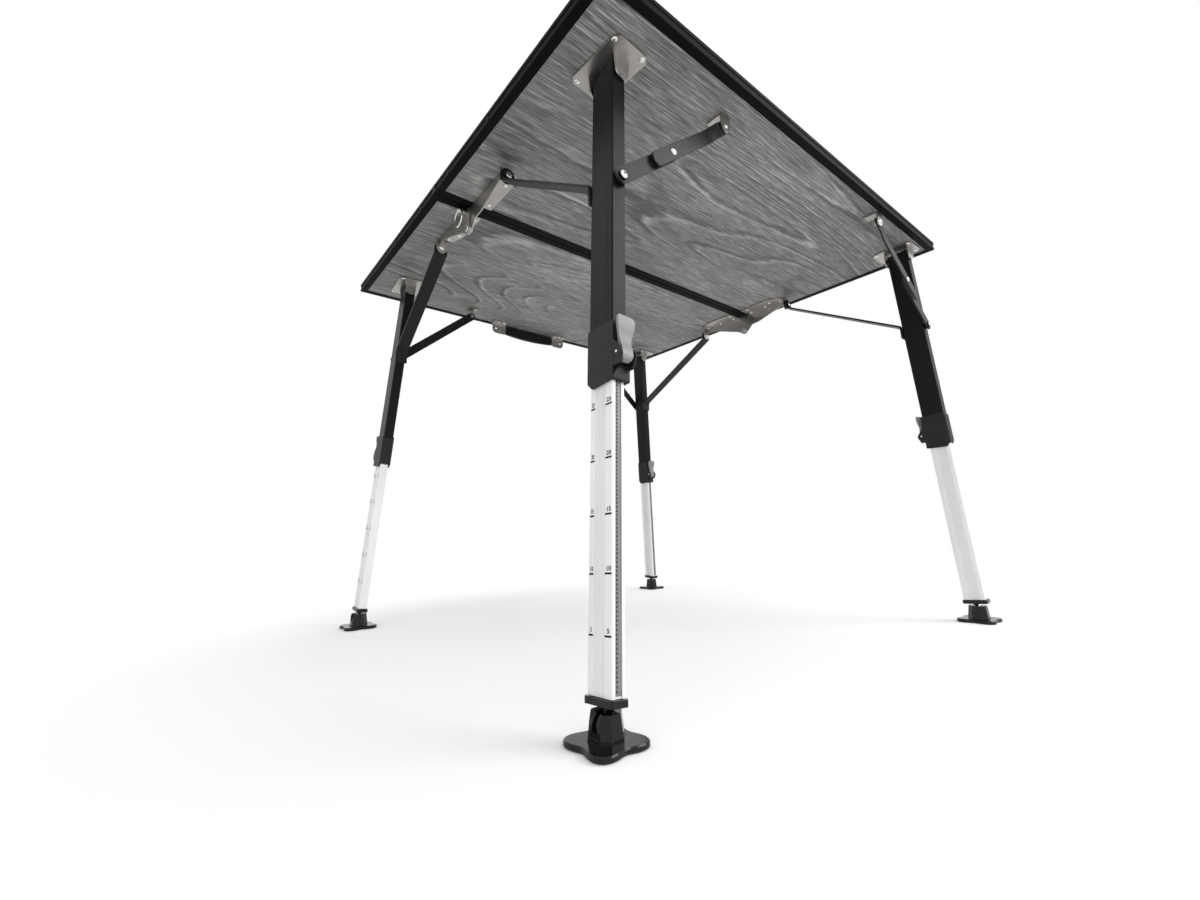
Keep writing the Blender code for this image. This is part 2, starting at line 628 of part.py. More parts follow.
def make_sleeve(name, leg, side, root):
    """Moulded sleeve at the end of the upper tube, with two ears for the lever."""
    corner = SLEEVE_CORNER
    edge = SLEEVE_EDGE
    outline = [(-SLEEVE_BACK, -SLEEVE_TOP - corner), (-SLEEVE_BACK + corner, -SLEEVE_TOP),
               (SLEEVE_FRONT - edge, -SLEEVE_TOP), (SLEEVE_FRONT, -SLEEVE_TOP - edge),
               (SLEEVE_FRONT, -SLEEVE_FRONT_BOTTOM + edge), (SLEEVE_FRONT - edge, -SLEEVE_FRONT_BOTTOM),
               (-SLEEVE_BACK + SLEEVE_TAPER, -SLEEVE_BOTTOM), (-SLEEVE_BACK, -SLEEVE_BOTTOM + SLEEVE_TAPER)]
    sleeve = prism(name, outline, -SLEEVE_Y, SLEEVE_Y, "Y")
    side_cut = SLEEVE_SIDE_CHAMFER
    plan = [(EAR_TIP, -SLEEVE_Y), (EAR_TIP, SLEEVE_Y), (-SLEEVE_BACK + side_cut, SLEEVE_Y),
            (-SLEEVE_BACK, SLEEVE_Y - side_cut), (-SLEEVE_BACK, -SLEEVE_Y + side_cut),
            (-SLEEVE_BACK + side_cut, -SLEEVE_Y)]
    combine(sleeve, prism("plan", plan, -SLEEVE_BOTTOM - PAST, PAST - SLEEVE_TOP), "INTERSECT")
    ear = [(SLEEVE_FRONT - edge, -EAR_TOP), (SLEEVE_FRONT, -EAR_TOP),
           (EAR_TIP - edge, -EAR_MIDDLE + EAR_ROUND), (EAR_TIP, -EAR_MIDDLE),
           (EAR_TIP - edge, -EAR_MIDDLE - EAR_ROUND), (EAR_HEEL, -EAR_BOTTOM),
           (SLEEVE_FRONT - edge, -EAR_BOTTOM)]
    inner = SLEEVE_Y - EAR_THICKNESS
    outer = SLEEVE_Y - GAP / 3
    add(sleeve, prism("ear", ear, inner, outer, "Y"), prism("ear", ear, -outer, -inner, "Y"))
    bore_x = UPPER_X + GAP
    bore_y = UPPER_Y + GAP
    lip_x = INNER_X + 2 * GAP
    lip_y = INNER_Y + 2 * GAP
    hole = LEVER_PIN_RADIUS + GAP
    reach = SLEEVE_Y + PAST
    cut(sleeve, box("bore", (-bore_x, bore_x), (-bore_y, bore_y), (-SLEEVE_LIP, PAST - SLEEVE_TOP)),
        box("lip", (-lip_x, lip_x), (-lip_y, lip_y), (-SLEEVE_BOTTOM - PAST, -SLEEVE_TOP)),
        box("window", (INNER_X, EAR_TIP), (-WINDOW_HALF, WINDOW_HALF), (-WINDOW_BOTTOM, -WINDOW_TOP)),
        rod("pin_hole", (LEVER_PIN_X, -reach, -LEVER_PIN_S), (LEVER_PIN_X, reach, -LEVER_PIN_S), hole, 12))
    mirror = (leg.mirror[0] * SIDES[side]["lever_side"], leg.mirror[1])
    settle(sleeve, "dark_sleeve", root, leg.place(0, 0, 0), mirror)


def make_lever(name, leg, side, root):
    """Hourglass lever that frees the inner tube, on an axle between the sleeve's ears."""
    profile = [(out, -s) for out, s in LEVER_PROFILE]
    lever = prism(name, profile, -LEVER_HALF_TOP, LEVER_HALF_TOP, "Y")
    waist = [(y, -s) for y, s in LEVER_FRONT]
    mirrored = [(-y, z) for y, z in reversed(waist)]
    combine(lever, prism("waist", waist + mirrored, PAST, LEVER_PIN_X + PAST, "X"), "INTERSECT")
    reach = SLEEVE_Y - 2 * GAP
    add(lever, rod("axle", (LEVER_PIN_X, -reach, -LEVER_PIN_S), (LEVER_PIN_X, reach, -LEVER_PIN_S),
                   LEVER_PIN_RADIUS, 12))
    turned = SIDES[side]["lever_side"]
    mirror = (leg.mirror[0] * turned, leg.mirror[1])
    matrix = leg.place(turned * LEVER_PIN_X, 0, LEVER_PIN_S)
    settle(lever, "grey_lever", root, matrix, mirror, (LEVER_PIN_X, 0, -LEVER_PIN_S))


def make_inner_tube(name, leg, side, root):
    """Silver tube that slides in the upper one; a shallow track on the lever's side."""
    shell = chamfered(INNER_X, INNER_Y, INNER_CHAMFER)
    track = [(INNER_X, -RATCHET_HALF), (INNER_X - RATCHET_DEPTH, -RATCHET_HALF),
             (INNER_X - RATCHET_DEPTH, RATCHET_HALF), (INNER_X, RATCHET_HALF)]
    tube = prism(name, shell[:1] + track + shell[1:], -INNER_END, -INNER_START)
    inner_x = INNER_X - INNER_WALL - RATCHET_DEPTH
    inner_y = INNER_Y - INNER_WALL
    cut(tube, box("bore", (-inner_x, inner_x), (-inner_y, inner_y),
                  (-INNER_END - PAST, PAST - INNER_START)))
    mirror = (leg.mirror[0] * SIDES[side]["lever_side"], leg.mirror[1])
    settle(tube, "silver_tube", root, leg.place(0, 0, INNER_START), mirror, (0, 0, -INNER_START))


def make_end_cap(name, leg, root):
    """Cap that plugs the inner tube and carries the ball of the foot."""
    cap = prism(name, chamfered(CAP_X, CAP_Y, CAP_CHAMFER), -CAP_BOTTOM, -CAP_TOP)
    plug_x = INNER_X - INNER_WALL - RATCHET_DEPTH - GAP
    plug_y = INNER_Y - INNER_WALL - GAP
    centre = -leg.ball_distance()
    add(cap, box("plug", (-plug_x, plug_x), (-plug_y, plug_y), (-CAP_TOP - FUSE, PLUG_LENGTH - CAP_TOP)),
        rod("boss", (0, 0, -BOSS_END), (0, 0, FUSE - CAP_BOTTOM), BOSS_TIP_RADIUS, 20, BOSS_BASE_RADIUS),
        rod("stem", (0, 0, centre), (0, 0, -CAP_BOTTOM), STEM_RADIUS, 12),
        ball("ball", (0, 0, centre), BALL_RADIUS))
    settle(cap, "black_foot", root, leg.place(0, 0, CAP_TOP), leg.mirror, (0, 0, -CAP_TOP))


def star_outline(shrink=0.0):
    points = []
    for k in range(STAR_POINTS):
        angle = math.tau * (k + 0.5) / STAR_POINTS
        radius = STAR_MEAN - shrink - STAR_SWING * math.cos(STAR_LOBES * angle)
        points.append((radius * math.cos(angle), radius * math.sin(angle)))
    return points


def boss_path(leg):
    """Room that the end cap's boss sweeps round the ball while the foot folds up."""
    tip = leg.ball_distance() - BOSS_END - GAP
    flare = (BOSS_BASE_RADIUS - BOSS_TIP_RADIUS) / (BOSS_END - CAP_BOTTOM)
    base = HUB_SHOULDER + 3 * GAP
    near = BOSS_TIP_RADIUS + GAP
    far = near + (base - tip) * flare
    bm = bmesh.new()
    corners = [bm.verts.new((x, 0, z)) for x, z in ((-near, tip), (near, tip), (far, base), (-far, base))]
    face = bm.faces.new(corners)
    bmesh.ops.spin(bm, geom=[face, *face.edges, *corners], cent=(0, 0, 0), axis=(1, 0, 0),
                   angle=math.radians(FOLD_SWEEP), steps=10)
    return object_from(bm, "boss_path")


def make_foot(name, leg, root):
    """Four-lobed foot: an eight-sided hub with a keyhole slot, so that it can fold up flat."""
    bm = bmesh.new()
    levels = ((0.0, STAR_EDGE), (STAR_EDGE, 0.0), (STAR_THICKNESS - STAR_EDGE, 0.0),
              (STAR_THICKNESS, STAR_EDGE))
    rings = [[bm.verts.new((x, y, z)) for x, y in star_outline(shrink)] for z, shrink in levels]
    for lower, upper in zip(rings, rings[1:]):
        count = len(lower)
        for k in range(count):
            k_next = (k + 1) % count
            bm.faces.new((lower[k], lower[k_next], upper[k_next], upper[k]))
    bm.faces.new(rings[0])
    bm.faces.new(rings[-1])
    foot = object_from(bm, name)
    hub = rod("hub", (0, 0, STAR_THICKNESS - 2 * FUSE), (0, 0, HUB_TOP), HUB_BOTTOM_RADIUS, HUB_SIDES,
              HUB_TOP_RADIUS)
    hub.data.transform(Matrix.Rotation(math.pi / HUB_SIDES, 4, "Z"))
    clear = 2 * HUB_BOTTOM_RADIUS
    shoulder = arc((0, BALL_HEIGHT), HUB_SHOULDER, 90, 180, 8)
    shoulder += [(-clear, BALL_HEIGHT), (-clear, BALL_HEIGHT + clear), (0, BALL_HEIGHT + clear)]
    cut(hub, box("flat", (-clear, clear), (-clear, -HUB_FLAT), (STAR_THICKNESS + 2 * FUSE, clear + HUB_TOP)),
        prism("shoulder", shoulder, -clear, clear, "X"))
    add(foot, hub)
    centre = (0, 0, BALL_HEIGHT)
    slot = box("slot", (-SLOT_HALF, SLOT_HALF), (-clear, 0), (0, clear))
    path = boss_path(leg)
    lean = Matrix.Translation(centre) @ Matrix.Rotation(-math.atan(SPLAY_X), 4, "Y")
    for room in (slot, path):
        room.data.transform(lean)
    cut(foot, ball("socket", centre, SOCKET_RADIUS, 8, 16),
        rod("mouth", centre, (0, 0, HUB_TOP + HUB_MOUTH_FLARE), HUB_MOUTH, 16, HUB_MOUTH + HUB_MOUTH_FLARE),
        rod("eye", (0, -clear, BALL_HEIGHT), centre, SLOT_EYE, 16),
        slot, path)
    point = leg.to_world(0, 0, leg.ball_distance())
    settle(foot, "black_foot", root, Matrix.Translation(point), leg.mirror, centre)


def bar(name, length, radius, low, high):
    """Flat bar with round ends along Y, from the first hole at the origin, thick along X."""
    outline = arc((0, 0), radius, 90, 270, 10) + arc((length, 0), radius, -90, 90, 10)
    return prism(name, outline, low, high, "X")


def brace_line(leg):
    """Where the straight knee brace starts and ends, in the leg's outward, inward and up axes."""
    start = Vector((0, 0, -LEG_SCREW_S))
    end = leg.direction(leg.brace_end - leg.pivot)
    return start, end


def brace_turn(leg):
    """Angle of the straight knee brace above the leg's inward axis, and its length."""
    start, end = brace_line(leg)
    run = end - start
    return math.atan2(run.z, run.y), math.hypot(run.y, run.z)


def make_knee_lower(name, leg, root):
    """Lower bar of the knee brace, turning on the leg's stud."""
    angle, _ = brace_turn(leg)
    lower = bar(name, BRACE_LOWER, BRACE_HALF, LOWER_IN, LOWER_OUT)
    cut(lower, rod("hole", (LOWER_IN - PAST, 0, 0), (LOWER_OUT + PAST, 0, 0), STUD_RADIUS + GAP))
    lower.data.transform(Matrix.Rotation(angle, 4, "X"))
    settle(lower, "black_brace", root, leg.place(0, 0, LEG_SCREW_S), leg.mirror)


def make_knee_upper(name, leg, root):
    """Upper bar of the knee brace, with a joggle beside its bracket and a tail past the knee."""
    angle, length = brace_turn(leg)
    _, end = brace_line(leg)
    reach = length - BRACE_LOWER + BRACE_OVERLAP
    thick = UPPER_OUT - UPPER_IN
    middle = (UPPER_IN + UPPER_OUT) / 2
    shift = end.x - middle
    near = (UPPER_IN + shift, UPPER_OUT + shift)
    path = [(middle + shift, -2 * BRACE_HALF), (middle + shift, BRACE_BEND_END),
            (middle, BRACE_BEND_START), (middle, reach + 2 * BRACE_HALF)]
    upper = bent_strip(name, path, thick, -2 * BRACE_HALF, 2 * BRACE_HALF, "Z")
    combine(upper, bar("outline", reach, BRACE_HALF, min(near[0], UPPER_IN) - thick,
                       max(near[1], UPPER_OUT) + thick), "INTERSECT")
    cut(upper, rod("hole", (near[0] - thick, 0, 0), (near[1] + thick, 0, 0), BRACE_PIN_RADIUS + GAP))
    upper.data.transform(Matrix.Rotation(angle + math.pi, 4, "X"))
    settle(upper, "black_brace", root, leg.place(0, end.y, -end.z), leg.mirror)


def make_brace_bracket(name, leg, side, root):
    """Small angle under the board with the rivet that the knee brace turns on."""
    upper_out = SIDES[side]["brace_end"] + (UPPER_OUT - UPPER_IN) / 2
    inner = upper_out + EAR_CLEARANCE
    centre_z = PIVOT_Z + BRACE_RISE
    ear = [(BRACE_HALF, PLATE_TOP - centre_z), (-BRACE_HALF, PLATE_TOP - centre_z)]
    ear += arc((0, 0), EAR_HALF, 180, 360, 10)
    bracket = prism(name, ear, inner, inner + EAR_PLATE, "X")
    add(bracket, box("base", (inner - EAR_BASE, inner + EAR_PLATE), (-BRACE_HALF, BRACE_HALF),
                     (PLATE_TOP - PLATE - centre_z, PLATE_TOP - centre_z)))
    head = inner - (UPPER_OUT - UPPER_IN) - 2 * EAR_CLEARANCE
    add(bracket, rod("rivet", (head - FUSE, 0, 0), (inner + EAR_PLATE / 2, 0, 0), BRACE_PIN_RADIUS - GAP),
        rod("head", (head - RIVET_HEAD, 0, 0), (head, 0, 0), RIVET_HEAD_RADIUS))
    bracket.data.transform(Matrix.Translation((-SIDES[side]["brace_end"], 0, 0)))
    settle(bracket, "steel_plate", root, Matrix.Translation(leg.brace_end), leg.mirror)


def bent_strip(name, path, thickness, low, high, axis="Y"):
    """Flat strip along a path, with the path in its middle, as wide as low to high along an axis."""
    half = thickness / 2
    left = []
    right = []
    for k, point in enumerate(path):
        here = Vector(point)
        before = (here - Vector(path[k - 1])).normalized() if k else None
        after = (Vector(path[k + 1]) - here).normalized() if k + 1 < len(path) else None
        first = before or after
        second = after or before
        normal = Vector((-(first.y + second.y), first.x + second.x)).normalized()
        reach = half / normal.dot(Vector((-first.y, first.x)))
        left.append(tuple(here + normal * reach))
        right.append(tuple(here - normal * reach))
    return prism(name, left + right[::-1], low, high, axis)


def make_long_brace(name, leg, side, root):
    """Flat strip from the leg to the tab of the hinge plate, folding with the leg."""
    data = SIDES[side]
    centre_y = data["long_brace_y"]
    lug_x = LUG_IN + STRIP_THICKNESS / 2
    face = UPPER_X + GAP + STRIP_THICKNESS / 2
    top = leg.to_world(-face, 0, STRIP_TAB_TOP)
    bottom = leg.to_world(-face, 0, STRIP_TAB_END)
    path = [(lug_x, PIVOT_Z), (lug_x, PIVOT_Z - LUG_STRAIGHT),
            (abs(top.x) - STRIP_BEND_IN, top.z + STRIP_BEND), (abs(top.x), top.z - 2 * FUSE),
            (abs(bottom.x), bottom.z)]
    strip = bent_strip(name, path, STRIP_THICKNESS, centre_y - STRIP_HALF, centre_y + STRIP_HALF)
    lug_y = data["lug_y"]
    lug = arc((lug_y, PIVOT_Z), STRIP_HALF, 0, 180, 12)
    lug += [(lug_y - STRIP_HALF, PIVOT_Z - LUG_ROOT), (lug_y + STRIP_HALF, PIVOT_Z - LUG_ROOT)]
    lug_out = LUG_IN + STRIP_THICKNESS
    add(strip, prism("lug", lug, LUG_IN, lug_out, "X"),
        rod("head", (lug_out - FUSE, lug_y, PIVOT_Z), (lug_out + LUG_HEAD, lug_y, PIVOT_Z),
            LUG_HEAD_RADIUS, 6),
        rod("washer", fold_line(side, TAB_OUT + 2 * GAP), fold_line(side, LUG_IN + GAP),
            LUG_WASHER_RADIUS),
        rod("shank", fold_line(side, TAB_IN + GAP), fold_line(side, lug_out), LUG_SCREW_RADIUS))
    pivot = (abs(leg.pivot.x), abs(leg.pivot.y), leg.pivot.z)
    mirror = (leg.half, leg.side)
    settle(strip, "black_brace", root, Matrix.Translation(leg.pivot), mirror, pivot)


def make_leg(half, side, root):
    leg = Leg(half, side)
    prefix = f"{half}_{side}"
    make_leg_bracket(f"{prefix}_leg_bracket", leg, side, root)
    make_upper_tube(f"{prefix}_upper_tube", leg, root)
    make_sleeve(f"{prefix}_sleeve", leg, side, root)
    make_lever(f"{prefix}_lever", leg, side, root)
    make_inner_tube(f"{prefix}_inner_tube", leg, side, root)
    make_end_cap(f"{prefix}_end_cap", leg, root)
    make_foot(f"{prefix}_foot", leg, root)
    make_long_brace(f"{prefix}_long_brace", leg, side, root)
    make_knee_lower(f"{prefix}_knee_brace_lower", leg, root)
    make_knee_upper(f"{prefix}_knee_brace_upper", leg, root)
    make_brace_bracket(f"{prefix}_brace_bracket", leg, side, root)


def make_handle_bracket(side, start, root):
    """Angle at one end of the handle: a flange under the board and a web with two holes."""
    end = start + HANDLE_BRACKET
    outer = HANDLE_CORNER_OUT
    inner = HANDLE_CORNER_IN
    web = [(start, PLATE_TOP)]
    web += arc((start + outer, HANDLE_GRIP_BOTTOM + outer), outer, 180, 270, 5)
    web += arc((end - inner, HANDLE_GRIP_BOTTOM + inner), inner, -90, 0, 5)
    web += [(end, PLATE_TOP)]
    if side == "back":
        web = [(start + end - y, z) for y, z in web]
    bracket = prism(f"{side}_handle_bracket", web, HANDLE_WEB_X - PLATE, HANDLE_WEB_X, "X")
    add(bracket, box("flange", (HANDLE_FLANGE_IN, HANDLE_FLANGE_OUT), (start, end),
                     (PLATE_TOP - PLATE, PLATE_TOP)))
    hole_y = start + HANDLE_HOLE_IN if side == "front" else end - HANDLE_HOLE_IN
    cut(bracket, rod("hole", (HANDLE_WEB_X - PAST, hole_y, HANDLE_HOLE_Z),
                     (HANDLE_WEB_X + PAST, hole_y, HANDLE_HOLE_Z), HANDLE_HOLE_RADIUS))
    settle(bracket, "steel_plate", root, Matrix.Identity(4), (-1, 1))


def make_handle_grip(root):
    """Moulded grip, riveted behind the webs of its two brackets."""
    front = HANDLE_FRONT + HANDLE_BRACKET - HANDLE_LAP
    back = HANDLE_BACK - HANDLE_BRACKET + HANDLE_LAP
    outline = [(front, HANDLE_GRIP_TOP), (front, HANDLE_GRIP_END_BOTTOM)]
    for k in range(1, HANDLE_GRIP_STEPS):
        share = k / HANDLE_GRIP_STEPS
        sag = 4 * share * (1 - share) * (HANDLE_GRIP_END_BOTTOM - HANDLE_GRIP_BOTTOM)
        outline.append((front + share * (back - front), HANDLE_GRIP_END_BOTTOM - sag))
    outline += [(back, HANDLE_GRIP_END_BOTTOM), (back, HANDLE_GRIP_TOP)]
    inner = HANDLE_WEB_X + GAP
    grip = prism("handle_grip", outline, inner, inner + HANDLE_GRIP_THICKNESS, "X")
    settle(grip, "black_grip", root, Matrix.Identity(4), (-1, 1))


def main():
    clear_scene()
    root = bpy.data.objects.new("table_origin", None)
    root.location = (0, CENTRE_SHIFT, 0)
    bpy.context.collection.objects.link(root)
    for half in HALVES:
        make_board(half, root)
        make_edge_frame(half, root)
    for side in SIDES:
        make_hinge_pin(side, root)
        for half in HALVES:
            make_hinge_plate(half, side, root)
            make_leg(half, side, root)
    make_lock(root)
    make_handle_bracket("front", HANDLE_FRONT, root)
    make_handle_bracket("back", HANDLE_BACK - HANDLE_BRACKET, root)
    make_handle_grip(root)


main()
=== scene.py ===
import json
import math

import bmesh
import bpy
from mathutils import Matrix, Vector


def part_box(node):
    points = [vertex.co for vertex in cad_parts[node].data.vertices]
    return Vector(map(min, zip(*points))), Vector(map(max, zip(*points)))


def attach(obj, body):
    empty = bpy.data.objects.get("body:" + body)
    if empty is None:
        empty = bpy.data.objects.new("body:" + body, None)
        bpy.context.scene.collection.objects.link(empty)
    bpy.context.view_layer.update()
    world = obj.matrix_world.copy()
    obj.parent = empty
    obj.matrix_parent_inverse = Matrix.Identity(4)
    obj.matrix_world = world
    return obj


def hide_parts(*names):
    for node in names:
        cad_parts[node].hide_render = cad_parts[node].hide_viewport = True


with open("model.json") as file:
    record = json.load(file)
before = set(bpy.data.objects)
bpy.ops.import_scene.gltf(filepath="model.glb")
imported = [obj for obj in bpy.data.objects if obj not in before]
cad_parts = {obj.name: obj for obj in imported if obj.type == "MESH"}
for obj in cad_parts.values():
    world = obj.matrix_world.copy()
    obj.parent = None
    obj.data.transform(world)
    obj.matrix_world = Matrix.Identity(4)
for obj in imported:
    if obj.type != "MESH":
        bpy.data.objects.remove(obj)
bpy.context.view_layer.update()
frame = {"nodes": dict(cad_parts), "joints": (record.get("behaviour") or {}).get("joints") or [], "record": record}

NODES = frame["nodes"]
JOINTS = {joint["name"]: joint for joint in frame["joints"]}
BODIES = frame["record"]["behaviour"]["bodies"]
BODY_OF = {node: body for body, nodes in BODIES.items() for node in nodes}
SLOT_OF = {part["node"]: part["material_slot"] for part in frame["record"]["subparts"]}
LEGS = [f"{half}_{side}" for half in ("near", "far") for side in ("front", "back")]

# Thickness of the plates and brackets
SHEET = 0.0020

# Places in the table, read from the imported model
BOARD_LOW, BOARD_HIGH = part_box("near_board")
CENTRE_Y = (BOARD_LOW.y + BOARD_HIGH.y) / 2
RAIL_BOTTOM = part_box("near_edge_frame")[0].z
FLANGE_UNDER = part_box("near_front_leg_bracket")[1].z - SHEET

# The photograph's camera, as a place beside the table's middle and three turns
PHOTO_WIDTH = 1200
PHOTO_HEIGHT = 900
FOCAL_PIXELS = 520.5
PRINCIPAL_X = 602.42
PRINCIPAL_Y = 459.08
CAMERA_PLACE = (0.7079, -0.6672, 0.1709)
CAMERA_YAW = 140.666
CAMERA_PITCH = 7.7225
CAMERA_ROLL = -1.3845
SENSOR_WIDTH = 36.0
NEAR_CLIP = 0.02

# Width of each piece's rounded edges, and the angles in degrees that decide what stays crisp
EDGE_ROUNDING = {
    "board": 0.0003, "edge_frame": 0.0005, "hinge_plate": 0.0004, "leg_bracket": 0.0004,
    "brace_bracket": 0.0004, "hinge_pin": 0.0006, "handle_grip": 0.0016, "handle_bracket": 0.0004,
    "lock_plunger": 0.0005, "lock_pull_ring": 0.0002, "upper_tube": 0.0006, "sleeve": 0.0008,
    "lever": 0.0011, "end_cap": 0.0006, "foot": 0.0011, "long_brace": 0.0005,
    "knee_brace_lower": 0.0005, "knee_brace_upper": 0.0005,
}
EDGE_SEGMENTS = 2
ROUND_ABOVE = 32
SMOOTH_BELOW = 52
CRISP_BELOW = 14
CRISP = ("knee_brace_upper", "long_brace")
TUBE_SMOOTH_BELOW = 50
FLAT_WITHIN = 1.0
WELD = 2e-6
FLAT_FACE_WEIGHT = 90

# Print, ribs and ratchet on the inner tubes, as distances down the leg
SCALE_FIGURES = (25, 20, 15, 10, 5)
SCALE_START = 0.380
SCALE_STEP = 0.050
BAR_HEIGHT = 0.0016
FIGURE_RISE = 0.0024
PRINT_THICKNESS = 0.00004
WIDE_COLUMN = {"bar": (0.0063, 0.0150), "figure": 0.0109, "width": 1.22}
SLIM_COLUMN = {"bar": (-0.0149, -0.0090), "figure": -0.0117, "width": 0.75}
FIGURE_SIZE = 0.0054
FIGURE_WEIGHT = 0.00014
INNER_TOP = 0.270
INNER_END = 0.627
INNER_X = 0.0158
INNER_Y = 0.0072
GROOVES = 8
GROOVE_PITCH = 0.0019
GROOVE_WIDTH = 0.0010
GROOVE_DEPTH = 0.00080
GROOVE_MIDDLE = -0.0012
TRACK_HALF = 0.0037
TRACK_DEPTH = 0.0010
TUBE_CORNER = 0.0009
CORNER_BEND = 0.3
GROOVE_TAPER = 0.5
# Ratchet holes, each drawn as a dark block through the strip: painted shade in the hole
HOLE_PITCH = 0.0036
HOLE_PLACE = 0.0019
HOLE_SIZE = (0.0010, 0.0026, 0.0021)
HOLES_FROM = 0.006
STRIP_THICKNESS = 0.0001
STRIP_SHORTER = 0.004
STRIP_NARROWER = 0.0002

# Radius and rise of each kind of round head
HEADS = {"rivet": (0.0034, 0.0015), "leg_stud": (0.0047, 0.0012), "knee": (0.0046, 0.0018),
         "ear": (0.0036, 0.0016), "tab_bolt": (0.0046, 0.0022), "lug_bolt": (0.0045, 0.0013),
         "lever_pin": (0.0014, 0.0005), "nub": (0.0030, 0.0014)}
HEAD_SEGMENTS = 20
HEAD_RINGS = 10
SOCKET_DEPTH = 0.0003

# Rivets in the flanges under the boards, from the seam and from the top's middle
RIVETS = {
    "near_front_hinge_plate": ((0.0242, -0.3225), (0.0628, -0.3349), (0.0812, -0.3244)),
    "far_front_hinge_plate": ((-0.0246, -0.3224), (-0.0822, -0.3236), (-0.1030, -0.3336)),
    "near_back_hinge_plate": ((0.0265, 0.3440), (0.0256, 0.3600), (0.0630, 0.3600),
                              (0.0800, 0.3500), (0.1010, 0.3620)),
    "far_back_hinge_plate": ((-0.0230, 0.3430), (-0.0250, 0.3590), (-0.0630, 0.3570),
                             (-0.1010, 0.3570)),
    "front_handle_bracket": ((-0.3790, -0.0910), (-0.3740, -0.0800), (-0.3780, -0.0745)),
    "back_handle_bracket": ((-0.3800, 0.0720), (-0.3740, 0.0820), (-0.3790, 0.0930)),
}
BRACKET_RIVET_INSET = 0.0075

# Heads of the knee braces, outward from a leg's middle plane and down the leg
KNEE_DOWN = 0.138
LEG_STUD_OUT = 0.0250
LEG_STUD_SOCKET_OUT = 0.02612
LEG_STUD_SOCKET = 0.0017
KNEE_OUT = 0.0284
KNEE_REACH = 0.0996

# Bolts of the long braces and pins of the levers
LUG_TO_HEAD = 0.0101
LUG_SOCKET_RISE = 0.00122
LUG_SOCKET = 0.0016
PIN_REACH = 0.0104

# Nubs and seam covers on the rails
RAIL_NUBS = (0.0530, 0.1740)
NUB_HEIGHT = 0.0040
COVER_WIDTH = 0.0030
COVER_THICKNESS = 0.0006
COVER_FROM_SEAM = 0.0022
COVER_SHARE = 0.82

# Draw lines and pressed marks on the wide faces of the upper tubes
TUBE_FACE = 0.0089
LINE_RISE = 0.00003
LINE_ASIDE = 0.0098
LINE_MIDDLE = 0.155
LINE_SIZE = (0.0004, 0.0001, 0.285)
MARK_PLACES = (0.283, 0.289)
MARK_ASIDE = 0.003
MARK_SLOPE = 0.42
MARK_SIZE = (0.0004, 0.0001, 0.0090)

# Ridges below the slot of each foot
RIDGE_PLANE = 0.0120
RIDGE_RADIUS = 0.0006
RIDGE_DROPS = (0.0082, 0.0097)
RIDGE_HALF = 0.0056

# Tones of the laminate, dark to light, with their places on the ramp
LAMINATE_TONES = ((0.16, (0.068, 0.066, 0.064)), (0.40, (0.155, 0.151, 0.147)),
                  (0.60, (0.230, 0.225, 0.219)), (0.90, (0.500, 0.492, 0.480)))

# Floor, surround and lamps
FLOOR_RADIUS = 12.0
FLOOR_DROP = 0.0005
FLOOR_LIFT = 0.13
SHADOW_NEAR = 0.54
SHADOW_FAR = 0.78
BRIGHT_SIDE = (0.77, 0.63, 0.10)
SIDE_FROM = -0.75
SIDE_TO = 0.85
DIM_STRENGTH = 0.55
BRIGHT_STRENGTH = 1.20
LAMPS = {
    "side_lamp": {"place": (1.95, 1.3, 1.7), "aim": (0.43, -0.3, 0.45), "size": 1.6, "power": 32.0},
    "front_lamp": {"place": (0.9, -2.6, 1.0), "aim": (0, 0, 0.4), "size": 1.8, "power": 7.0},
}


class LegFrame:
    """A leg's own axes, read from its joints: outward, inward and down from the fold pin."""

    def __init__(self, name):
        self.name = name
        self.pivot = Vector(JOINTS[f"{name}_leg_fold"]["pos_m"])
        self.half = 1 if self.pivot.x > 0 else -1
        self.side = 1 if self.pivot.y > CENTRE_Y else -1
        self.up = Vector(JOINTS[f"{name}_leg_slide"]["axis"])
        tilt = Vector(JOINTS[f"{name}_foot_tilt"]["axis"])
        self.outward = tilt * (1 if tilt.x * self.half > 0 else -1)
        self.inward = self.outward.cross(self.up) * self.half * self.side
        if self.inward.y * self.side > 0:
            self.inward = -self.inward
        self.lever_side = -self.side

    def point(self, outward, inward, s):
        """A place outward, inward and s down the leg from its fold pin."""
        return self.pivot + self.outward * outward + self.inward * inward - self.up * s

    def matrix(self, right, up, origin):
        """Placement for print that is drawn in X and Y and read along right and up."""
        turn = Matrix((right, up, right.cross(up))).transposed().to_4x4()
        return Matrix.Translation(origin) @ turn


FRAMES = {name: LegFrame(name) for name in LEGS}


# Materials

def set_input(node, name, value):
    node.inputs[name].default_value = value


